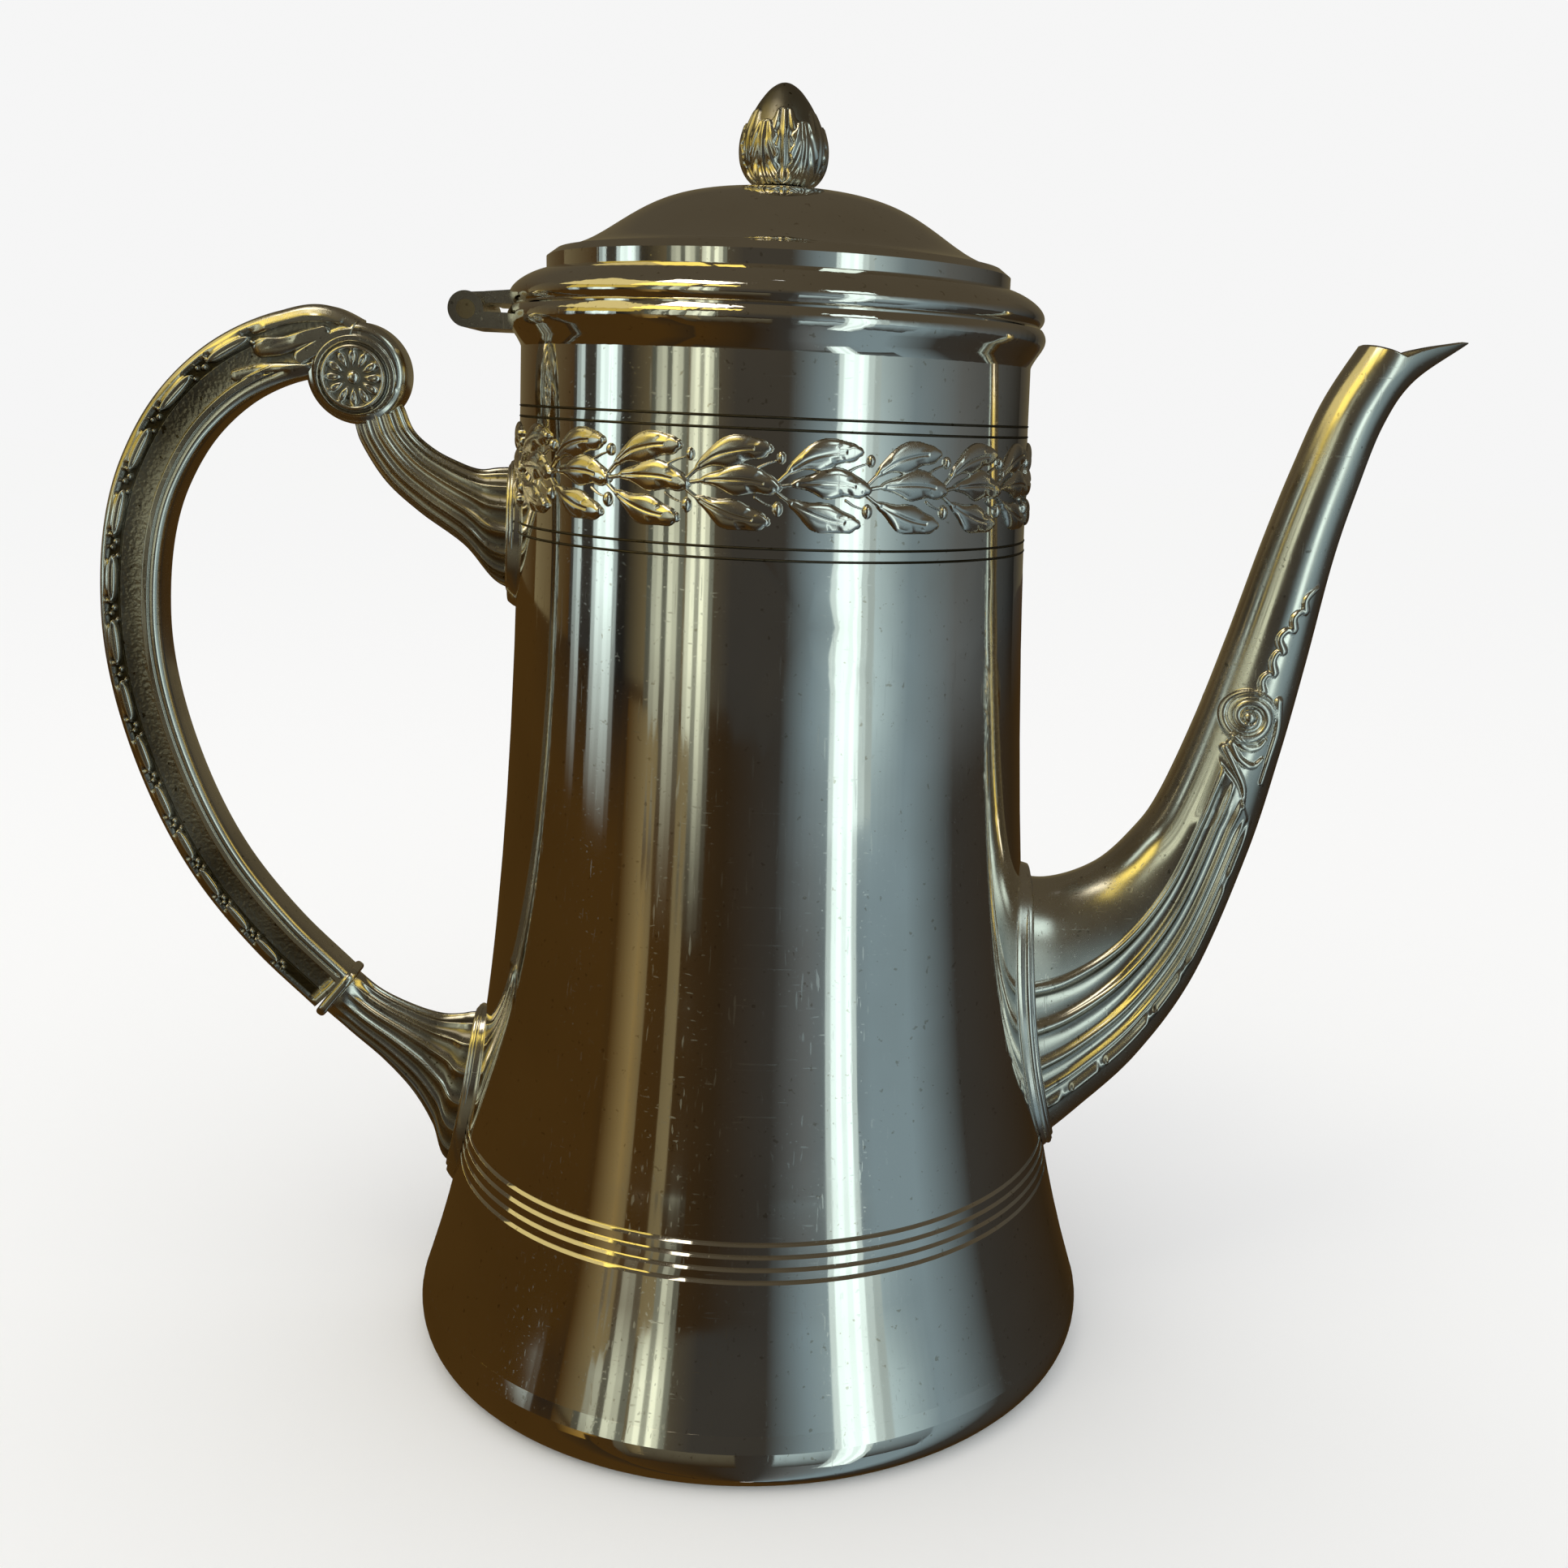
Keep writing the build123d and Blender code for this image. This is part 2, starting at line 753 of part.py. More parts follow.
# Bezel: a band that drops into the mouth, with a flange inside the lid's edge
bezel_radius = mouth_radius - bezel_clearance
with BuildPart() as lid_bezel:
    with BuildSketch(Plane.XZ):
        with BuildLine():
            Polyline(
                (bezel_radius - bezel_wall, lid_low_z - bezel_depth),
                (bezel_radius, lid_low_z - bezel_depth),
                (bezel_radius, lid_low_z),
                (lip_radius, lid_low_z),
                (lip_radius, lid_low_z + bezel_wall),
                (bezel_radius - bezel_wall, lid_low_z + bezel_wall),
                close=True,
            )
        make_face()
    revolve(axis=Axis.Z)
lid_bezel.part.label = "lid_bezel"
export_step(lid_bezel.part, "parts/lid_bezel.step")

# Hinge: five knuckles on one pin behind the mouth, three on the pot and two on the lid
hinge_x = -(body_top_radius + hinge_standoff)
hinge_z = body_height - hinge_drop
hinge_length = knuckle_count * knuckle_length + (knuckle_count - 1) * knuckle_gap
leaf_start_x = hinge_x + knuckle_radius + leaf_clearance
leaf_end_x = -(body_top_radius - 3 * body_wall)


def knuckle_y(index):
    """Middle of one knuckle along the hinge."""
    return (index - (knuckle_count - 1) / 2) * (knuckle_length + knuckle_gap)


def hinge_leaf(first_knuckle, low_near, low_far, high_near, high_far):
    """Every second knuckle from the first, each with its arm, and the plate that joins them."""
    with BuildPart() as leaf:
        for index in range(first_knuckle, knuckle_count, 2):
            with BuildSketch(Plane.XZ.offset(-knuckle_y(index))):
                with BuildLine():
                    Polyline(
                        (hinge_x, low_near), (leaf_end_x, low_far), (leaf_end_x, high_far),
                        (hinge_x, high_near), close=True,
                    )
                make_face()
                with Locations((hinge_x, hinge_z)):
                    Circle(knuckle_radius)
            extrude(amount=knuckle_length / 2, both=True)
        with BuildSketch(Plane.XZ):
            with BuildLine():
                Polyline(
                    (leaf_start_x, low_far), (leaf_end_x, low_far), (leaf_end_x, high_far),
                    (leaf_start_x, min(high_near, high_far)), close=True,
                )
            make_face()
        extrude(amount=hinge_length / 2, both=True)
    return leaf.part


body_leaf_form = hinge_leaf(
    0,
    hinge_z - knuckle_radius,
    hinge_z - knuckle_radius,
    hinge_z - leaf_clearance,
    hinge_z - leaf_clearance,
)
lid_leaf_form = hinge_leaf(
    1,
    lid_low_z,
    lid_low_z,
    hinge_z + knuckle_radius,
    hinge_z + knuckle_radius + lid_leaf_rise,
)

with BuildPart() as hinge_body_leaf:
    add(body_leaf_form)
    add(rim_form.part, mode=Mode.SUBTRACT)
    with Locations((hinge_x, 0, hinge_z)):
        Cylinder(pin_radius, hinge_length, rotation=(90, 0, 0), mode=Mode.SUBTRACT)
hinge_body_leaf.part.label = "hinge_body_leaf"
export_step(hinge_body_leaf.part, "parts/hinge_body_leaf.step")

with BuildPart() as hinge_lid_leaf:
    add(lid_leaf_form)
    add(lid_form.part, mode=Mode.SUBTRACT)
    with Locations((hinge_x, 0, hinge_z)):
        Cylinder(
            pin_radius + pin_clearance, hinge_length, rotation=(90, 0, 0), mode=Mode.SUBTRACT
        )
hinge_lid_leaf.part.label = "hinge_lid_leaf"
export_step(hinge_lid_leaf.part, "parts/hinge_lid_leaf.step")

with BuildPart() as hinge_pin:
    with Locations((hinge_x, 0, hinge_z)):
        Cylinder(pin_radius, hinge_length, rotation=(90, 0, 0))
hinge_pin.part.label = "hinge_pin"
export_step(hinge_pin.part, "parts/hinge_pin.step")

# Finial: a bud on a washer, with a stud through the crown, a washer and a nut inside
bud_low_z = crown_z + washer_thickness
nut_high_z = crown_z - lid_wall - inner_washer_thickness
stud_low_z = nut_high_z - nut_thickness - stud_beyond_nut
bud_shares = [
    (0.79, 0.075), (0.95, 0.2), (1.0, 0.34), (0.89, 0.575),
    (0.577, 0.825), (0.32, 0.94), (0.15, 0.985),
]

with BuildPart() as finial:
    with BuildSketch(Plane.XZ):
        with BuildLine():
            bud = Spline(
                (finial_foot_radius, bud_low_z),
                *[
                    (share * finial_radius, bud_low_z + up * finial_height)
                    for share, up in bud_shares
                ],
                (0, bud_low_z + finial_height),
            )
            Polyline(
                bud @ 1, (0, stud_low_z), (stud_radius, stud_low_z), (stud_radius, bud_low_z),
                bud @ 0,
            )
        make_face()
    revolve(axis=Axis.Z)
finial.part.label = "finial"
export_step(finial.part, "parts/finial.step")

with BuildPart() as finial_washer:
    with BuildSketch(Plane.XY.offset(crown_z)):
        Circle(washer_radius)
        Circle(stud_radius + stud_clearance, mode=Mode.SUBTRACT)
    extrude(amount=washer_thickness)
finial_washer.part.label = "finial_washer"
export_step(finial_washer.part, "parts/finial_washer.step")

with BuildPart() as finial_inner_washer:
    with BuildSketch(Plane.XY.offset(nut_high_z)):
        Circle(washer_radius)
        Circle(stud_radius + stud_clearance, mode=Mode.SUBTRACT)
    extrude(amount=inner_washer_thickness)
finial_inner_washer.part.label = "finial_inner_washer"
export_step(finial_inner_washer.part, "parts/finial_inner_washer.step")

with BuildPart() as finial_nut:
    with BuildSketch(Plane.XY.offset(nut_high_z)):
        RegularPolygon(nut_across_flats / 2, 6, major_radius=False)
        Circle(stud_radius, mode=Mode.SUBTRACT)
    extrude(amount=-nut_thickness)
finial_nut.part.label = "finial_nut"
export_step(finial_nut.part, "parts/finial_nut.step")
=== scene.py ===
import json
from math import cos, exp, pi, radians, sin

import bpy
import numpy as np
from mathutils import Matrix, Vector


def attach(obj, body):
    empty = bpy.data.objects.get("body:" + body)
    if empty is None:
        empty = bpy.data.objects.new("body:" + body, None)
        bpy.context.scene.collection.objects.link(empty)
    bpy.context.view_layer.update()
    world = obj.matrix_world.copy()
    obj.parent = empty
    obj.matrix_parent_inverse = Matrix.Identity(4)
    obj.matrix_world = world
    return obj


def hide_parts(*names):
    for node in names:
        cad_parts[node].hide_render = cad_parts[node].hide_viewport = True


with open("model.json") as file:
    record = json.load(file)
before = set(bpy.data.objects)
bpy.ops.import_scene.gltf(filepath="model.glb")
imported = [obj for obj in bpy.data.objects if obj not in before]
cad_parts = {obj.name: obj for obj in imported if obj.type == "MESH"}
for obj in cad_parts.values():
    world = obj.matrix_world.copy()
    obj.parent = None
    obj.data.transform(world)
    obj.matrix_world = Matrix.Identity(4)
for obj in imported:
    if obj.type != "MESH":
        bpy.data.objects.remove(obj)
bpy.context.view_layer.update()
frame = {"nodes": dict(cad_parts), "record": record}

mm = 0.001

# Camera: its place in metres, its turns in degrees, its lens and sensor in millimetres
camera_place = (0.0, -0.2793, 0.1651)
camera_yaw = 3.66
camera_pitch = -14.74
camera_roll = 2.52
camera_lens = 37.07
camera_sensor = 36
camera_shift = (-0.0516, 0.0319)


def add_camera():
    """The camera, turned right by the yaw, up by the pitch and rolled about its own axis."""
    yaw, pitch, roll = radians(camera_yaw), radians(camera_pitch), radians(camera_roll)
    forward = Vector((sin(yaw) * cos(pitch), cos(yaw) * cos(pitch), sin(pitch)))
    level_right = Vector((cos(yaw), -sin(yaw), 0))
    level_up = level_right.cross(forward)
    right = cos(roll) * level_right + sin(roll) * level_up
    up = -sin(roll) * level_right + cos(roll) * level_up
    data = bpy.data.cameras.new("camera")
    data.lens = camera_lens
    data.sensor_width = camera_sensor
    data.shift_x, data.shift_y = camera_shift
    camera = bpy.data.objects.new("camera", data)
    turn = Matrix((right, up, -forward)).transposed().to_4x4()
    camera.matrix_world = Matrix.Translation(camera_place) @ turn
    bpy.context.scene.collection.objects.link(camera)
    bpy.context.scene.camera = camera


add_camera()
bpy.context.scene.view_settings.view_transform = "Standard"


# Sizes of the pot, in millimetres, as the solids have them
body_height = 178.5
body_top_radius = 41.6
body_base_radius = 60.2
foot_height = 9.9
flare_length = 60.0
handle_depth = 7.2
grip_width = 9.3
grip_top_width = 11.2
volute_centre = (-68.5, 166.5)
volute_radius = 8.1
volute_shift = (0.25, 0.7)
ring_centre = (-75.77, 60.0)
spout_root = (48.85, 61.0)


def body_radius(z):
    """The wall's radius at a height."""
    end = exp(-(body_height - foot_height) / flare_length)
    fall = np.exp(-(z - foot_height) / flare_length)
    return body_top_radius + (body_base_radius - body_top_radius) * (fall - end) / (1 - end)


# Curves and height fields
def through(values, wanted, knots=None):
    """A smooth curve through rows of values, read at the wanted places along it."""
    values = np.asarray(values, float)
    if knots is None:
        runs = np.linalg.norm(np.diff(values[:, :2], axis=0), axis=1)
        knots = np.concatenate([[0], np.cumsum(runs)]) / runs.sum()
    slopes = np.gradient(values, knots, axis=0)
    wanted = np.asarray(wanted, float)
    place = np.clip(np.searchsorted(knots, wanted, side="right") - 1, 0, len(knots) - 2)
    gap = (knots[place + 1] - knots[place])[..., None]
    t = (wanted - knots[place])[..., None] / gap
    low, high = values[place], values[place + 1]
    rise = slopes[place] * gap * (t**3 - 2 * t**2 + t) + slopes[place + 1] * gap * (t**3 - t**2)
    return low * (2 * t**3 - 3 * t**2 + 1) + high * (3 * t**2 - 2 * t**3) + rise


def step_up(value, low, high):
    """A soft step from 0 at low to 1 at high."""
    t = np.clip((value - low) / (high - low), 0, 1)
    return t * t * (3 - 2 * t)


def dome(distance, half_width):
    """A round bead's height, 1 on its line and 0 at its edge."""
    return np.sqrt(np.clip(1 - (distance / half_width) ** 2, 0, 1))


def nearest_on(x, z, line):
    """Each point's distance to a drawn line, its share along it and the side it is on."""
    best = np.full(x.shape, 1e9)
    share = np.zeros(x.shape)
    side = np.ones(x.shape)
    runs = len(line) - 1
    for i in range(runs):
        run = line[i + 1] - line[i]
        along = ((x - line[i, 0]) * run[0] + (z - line[i, 1]) * run[1]) / (run @ run)
        along = np.clip(along, 0, 1)
        off_x = x - line[i, 0] - along * run[0]
        off_z = z - line[i, 1] - along * run[1]
        distance = np.hypot(off_x, off_z)
        closer = distance < best
        best = np.where(closer, distance, best)
        share = np.where(closer, (i + along) / runs, share)
        side = np.where(closer, np.sign(run[0] * off_z - run[1] * off_x), side)
    return best, share, side


def strokes(x, z, lines, half_width, height):
    """Raised round ridges along drawn lines, thinner towards each line's end."""
    rise = np.zeros(x.shape)
    for line in lines:
        smooth = through(line, np.linspace(0, 1, 6 * len(line)))
        distance, share, side = nearest_on(x, z, smooth)
        width = half_width * (1 - 0.45 * share)
        rise = np.maximum(rise, height * (1 - 0.3 * share) * dome(distance, width))
    return rise


# Meshes
def grid_faces(rows, columns, closed, start=0):
    """Four-sided faces over a grid of points; closed joins the last column to the first."""
    index = start + np.arange(rows * columns).reshape(rows, columns)
    if closed:
        index = np.hstack([index, index[:, :1]])
    corners = (index[:-1, :-1], index[:-1, 1:], index[1:, 1:], index[1:, :-1])
    return np.stack(corners, axis=-1).reshape(-1, 4)


def add_piece(name, body, slot, points, faces, recess, nodes=()):
    """A smooth mesh piece in millimetres that rides on a body and stands for CAD nodes."""
    points = np.asarray(points, float).reshape(-1, 3)
    mesh = bpy.data.meshes.new(name)
    mesh.from_pydata((points * mm).tolist(), [], [list(map(int, face)) for face in faces])
    mesh.update()
    mesh.polygons.foreach_set("use_smooth", np.ones(len(mesh.polygons), bool))
    shade = mesh.attributes.new("recess", "FLOAT", "POINT")
    shade.data.foreach_set("value", np.asarray(recess, float).ravel())
    piece = bpy.data.objects.new(name, mesh)
    bpy.context.scene.collection.objects.link(piece)
    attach(piece, body)
    metal(piece, slot)
    if nodes:
        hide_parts(*nodes)
    return piece


def add_tube(name, body, slot, path, radius, closed=True):
    """A round wire along a path of points in millimetres."""
    around = 12
    path = np.asarray(path, float)
    ahead = np.roll(path, -1, axis=0) - np.roll(path, 1, axis=0)
    if not closed:
        ahead = np.gradient(path, axis=0)
    ahead /= np.linalg.norm(ahead, axis=1)[:, None]
    side = np.cross(ahead, (0, 0, 1.0))
    side /= np.linalg.norm(side, axis=1)[:, None] + 1e-9
    up = np.cross(side, ahead)
    turn = np.arange(around) * 2 * pi / around
    points = (
        path[:, None]
        + radius * np.cos(turn)[None, :, None] * side[:, None]
        + radius * np.sin(turn)[None, :, None] * up[:, None]
    )
    if closed:
        points = np.concatenate([points, points[:1]])
    faces = grid_faces(len(points), around, True)
    return add_piece(name, body, slot, points, faces, np.zeros(points.shape[:2]))


# Studio: a pale floor, and a dark tent with windows that only the metal shows
floor_reach = 4.0
floor_colour = (0.92, 0.92, 0.917, 1)
tent_radius = 4.2
panel_radius = 4.0
streak_radius = 3.95
table_radius = 4.05
tent_centre = 0.1
panel_step = 3.0

# Rises in degrees at which the tent's rings meet, from the ground up
tent_foot = -89
ground_top = -8.3
band_top = -4.5
wall_top = 30
tent_crown = 89


def new_material(name):
    """An empty node material: its nodes, its links and its output."""
    material = bpy.data.materials.new(name)
    material.use_nodes = True
    tree = material.node_tree
    tree.nodes.clear()
    output = tree.nodes.new("ShaderNodeOutputMaterial")
    return material, tree.nodes, tree.links, output


def matt_material(name, colour):
    """Plain matt paint."""
    material, nodes, links, output = new_material(name)
    paint = nodes.new("ShaderNodeBsdfDiffuse")
    paint.inputs["Color"].default_value = colour
    links.new(paint.outputs["BSDF"], output.inputs["Surface"])
    return material


def glow_material(name):
    """An even glow in the colour of each point, for the cards that the metal reflects."""
    material, nodes, links, output = new_material(name)
    tint = nodes.new("ShaderNodeAttribute")
    tint.attribute_name = "tint"
    glow = nodes.new("ShaderNodeEmission")
    links.new(tint.outputs["Color"], glow.inputs["Color"])
    links.new(glow.outputs["Emission"], output.inputs["Surface"])
    return material


card_glow = glow_material("card_glow")


def stage_mesh(name, points, faces, material):
    """A part of the studio."""
    mesh = bpy.data.meshes.new(name)
    mesh.from_pydata(points, [], faces)
    mesh.update()
    mesh.materials.append(material)
    thing = bpy.data.objects.new(name, mesh)
    bpy.context.scene.collection.objects.link(thing)
    return thing


def add_card(name, points, faces, tints):
    """A card that is seen only in the metal."""
    panel = stage_mesh(name, points, faces, card_glow)
    layer = panel.data.color_attributes.new("tint", "FLOAT_COLOR", "POINT")
    for i, tint in enumerate(tints):
        layer.data[i].color = (*tint, 1)
    panel.visible_camera = False
    panel.visible_diffuse = False
    panel.visible_shadow = False


def blend(first, last, share):
    """A colour between two colours."""
    return tuple(a + (b - a) * share for a, b in zip(first, last))


def on_tent(angle, rise, radius):
    """A place on the tent; the angle runs from the front towards the spout."""
    angle, rise = radians(angle), radians(rise)
    level = radius * cos(rise)
    return (level * sin(angle), -level * cos(angle), tent_centre + radius * sin(rise))


def add_panel(name, angles, rises, low_tints, high_tints, radius=panel_radius):
    """A glowing patch of the tent between two angles and two rises, coloured at its corners."""
    across = max(1, round((angles[1] - angles[0]) / panel_step))
    up = max(1, round((rises[1] - rises[0]) / panel_step))
    points, tints = [], []
    for i in range(across + 1):
        for j in range(up + 1):
            angle = angles[0] + (angles[1] - angles[0]) * i / across
            rise = rises[0] + (rises[1] - rises[0]) * j / up
            points.append(on_tent(angle, rise, radius))
            tints.append(blend(blend(*low_tints, i / across), blend(*high_tints, i / across), j / up))
    faces = []
    for i in range(across):
        for j in range(up):
            near, far = i * (up + 1) + j, (i + 1) * (up + 1) + j
            faces.append((near, far, far + 1, near + 1))
    add_card(name, points, faces, tints)


r = floor_reach
floor_paint = matt_material("floor_paint", floor_colour)
floor = stage_mesh("floor", [(-r, -r, 0), (r, -r, 0), (r, r, 0), (-r, r, 0)], [(0, 1, 2, 3)], floor_paint)
floor.visible_glossy = False

# Tints of the tent, its panels and its windows
black = (0.012, 0.012, 0.011)
dark = (0.04, 0.038, 0.034)
grey = (0.12, 0.135, 0.14)
cool = (0.21, 0.29, 0.33)
ceiling = (0.085, 0.07, 0.046)
brown = (0.062, 0.031, 0.007)
deep_brown = (0.032, 0.02, 0.009)
gold = (0.36, 0.21, 0.04)
ochre = (0.2, 0.16, 0.08)
window = (1.15, 1.42, 1.42)
dim_window = (0.5, 0.66, 0.7)
warm_window = (0.6, 0.64, 0.5)
lamp = (1.6, 1.25, 0.3)
soft_lamp = (0.75, 0.62, 0.26)
streak = (0.6, 0.45, 0.09)
olive = (0.12, 0.11, 0.075)

for name, angles, walls, bands, grounds in (
    ("tent_back_left", (-180, -128), (ochre, brown), (brown, brown), (brown, brown)),
    ("tent_far_left", (-128, -98), (ochre, brown), (brown, deep_brown), (brown, brown)),
    ("tent_left", (-98, -66), (dark, black), (deep_brown, black), (brown, brown)),
    ("tent_near_left", (-66, -50), (black, ochre), (black, brown), (brown, deep_brown)),
    ("tent_front_left", (-50, -17), (ochre, dark), (brown, deep_brown), (brown, deep_brown)),
    ("tent_front", (-17, 5), (dark, dark), (deep_brown, dark), (deep_brown, dark)),
    ("tent_front_right", (5, 18), (dark, cool), (dark, cool), (dark, grey)),
    ("tent_near_right", (18, 45), (cool, dim_window), (cool, dim_window), (grey, cool)),
    ("tent_right", (45, 62), (dim_window, cool), (dim_window, cool), (cool, cool)),
    ("tent_far_side", (62, 88), (cool, grey), (cool, grey), (cool, dark)),
    ("tent_far_right", (88, 140), (grey, black), (grey, black), (dark, deep_brown)),
    ("tent_back_right", (140, 180), (dark, ochre), (dark, brown), (deep_brown, brown)),
):
    add_panel(name + "_ground", angles, (tent_foot, ground_top), grounds, grounds, tent_radius)
    add_panel(name + "_band", angles, (ground_top, band_top), grounds, bands, tent_radius)
    add_panel(name + "_wall", angles, (band_top, wall_top), walls, (ceiling, ceiling), tent_radius)
    crown = (wall_top, tent_crown)
    add_panel(name + "_ceiling", angles, crown, (ceiling, ceiling), (ceiling, ceiling), tent_radius)

for name, angles, rises, low_tints, high_tints in (
    ("gold_left", (-62, -52), (-26, -5.0), (brown, gold), (brown, ochre)),
    ("gold_inner", (-52, -47), (-20, -5.0), (gold, brown), (ochre, ochre)),
    ("sheen_left", (-38, -33), (-30, -5), (deep_brown, ochre), (ochre, ochre)),
    ("lamp_front", (-36, -20), (38, 48), (lamp, lamp), (lamp, lamp)),
    ("lamp_left", (-112, -68), (26, 52), (soft_lamp, soft_lamp), (soft_lamp, soft_lamp)),
    ("lamp_spout", (-68, -40), (27, 48), (lamp, lamp), (lamp, lamp)),
    ("skylight_right", (22, 44), (32, 46), (window, window), (window, window)),
):
    add_panel(name, angles, rises, low_tints, high_tints)


def add_window(name, angles, rises, tint, panes, fade=0, below=dark):
    """A window whose panes differ in brightness, as through a curtain, and fade out below."""
    for i, level in enumerate(panes):
        start = angles[0] + (angles[1] - angles[0]) * i / len(panes)
        end = angles[0] + (angles[1] - angles[0]) * (i + 1) / len(panes)
        glow = tuple(level * part for part in tint)
        add_panel(f"{name}_{i}", (start, end), rises, (glow, glow), (glow, glow))
        if fade:
            low = (rises[0] - fade, rises[0])
            add_panel(f"{name}_{i}_fade", (start, end), low, (below, below), (glow, glow))


window_top = 24
left_rises, left_fade = (-2, window_top), 6.4
inner_rises, inner_fade = (-3, window_top), 5.4
right_rises = (-7, window_top)
low_rises = (-50, -7)
warm_panes = (0.15, 0.7, 0.9, 0.2, 1.2, 0.9, 0.25)
inner_panes = (1.2, 1.7, 0.6, 1.8, 1.1, 0.3)
add_window("window_left", (-84, -70), left_rises, window, (0.5, 0.9, 0.8, 1.0, 0.9, 0.3), left_fade, brown)
add_window("window_far_left", (-96, -91), left_rises, window, (0.3, 0.5), left_fade, brown)
add_window("window_warm", (-55, -38), inner_rises, warm_window, warm_panes, inner_fade, brown)
add_window("window_inner", (-37, -25), inner_rises, warm_window, inner_panes, inner_fade, deep_brown)
add_panel("table_olive", (-42, -4), (-40, -11), (deep_brown, deep_brown), (olive, olive), table_radius)
add_panel("table_light", (8, 60), (-40, -12), (dark, dark), (dim_window, cool), table_radius)
add_panel("streak_left", (-98, -60), (7.5, 25), (streak, streak), (streak, streak), streak_radius)
add_window("window_right", (26, 39), right_rises, window, (0.6, 0.95, 1.0, 0.9, 1.05, 0.85))
add_window("window_right_edge", (39, 45), right_rises, window, (0.5, 0.36))
add_window("window_right_low", (26, 39), low_rises, window, (0.45, 0.85, 1.0, 0.8, 1.0, 0.5))


def add_area(name, place, target, size, power, colour):
    """A softbox."""
    data = bpy.data.lights.new(name, "AREA")
    data.shape = "RECTANGLE"
    data.size, data.size_y = size
    data.energy = power
    data.color = colour
    lamp = bpy.data.objects.new(name, data)
    lamp.location = place
    lamp.rotation_mode = "QUATERNION"
    lamp.rotation_quaternion = (Vector(target) - Vector(place)).to_track_quat("-Z", "Y")
    bpy.context.scene.collection.objects.link(lamp)
    return lamp


add_area("softbox_top", (-0.35, -0.3, 0.9), (0, 0, 0.1), (0.35, 0.25), 0.7, (1, 0.93, 0.75))

world_light = 1.0
world_view = 0.92
world = bpy.data.worlds.new("world")
bpy.context.scene.world = world
world.use_nodes = True
world_nodes, world_links = world.node_tree.nodes, world.node_tree.links
background = world_nodes["Background"]
background.inputs["Color"].default_value = (1, 1, 1, 1)
paths = world_nodes.new("ShaderNodeLightPath")
seen = paths.outputs["Is Camera Ray"]
for kind in ("Is Glossy Ray", "Is Transmission Ray"):
    either = world_nodes.new("ShaderNodeMath")
    either.operation = "MAXIMUM"
    world_links.new(seen, either.inputs[0])
    world_links.new(paths.outputs[kind], either.inputs[1])
    seen = either.outputs[0]
level = world_nodes.new("ShaderNodeMapRange")
level.inputs["To Min"].default_value = world_light
level.inputs["To Max"].default_value = world_view
world_links.new(seen, level.inputs["Value"])
world_links.new(level.outputs["Result"], background.inputs["Strength"])


# Metal: scales of the marks in its surface, and the depth of its dents in metres
cloud_scale = 38
speck_scale = 900
smudge_scale = 70
dent_scale = 55
stipple_scale = 1500
dent_depth = 0.0004
# Hairlines: scale, stretch and turn of the noise, and the levels between which a line appears
hairlines = (
    (12, (190, 190, 1), (0.12, 0.05, 0), (0.74, 0.8)),
    (14, (1.2, 170, 170), (0.5, 0.7, 0.4), (0.76, 0.82)),
    (12, (190, 1.4, 170), (0.3, 1.1, 0.9), (0.77, 0.82)),
)


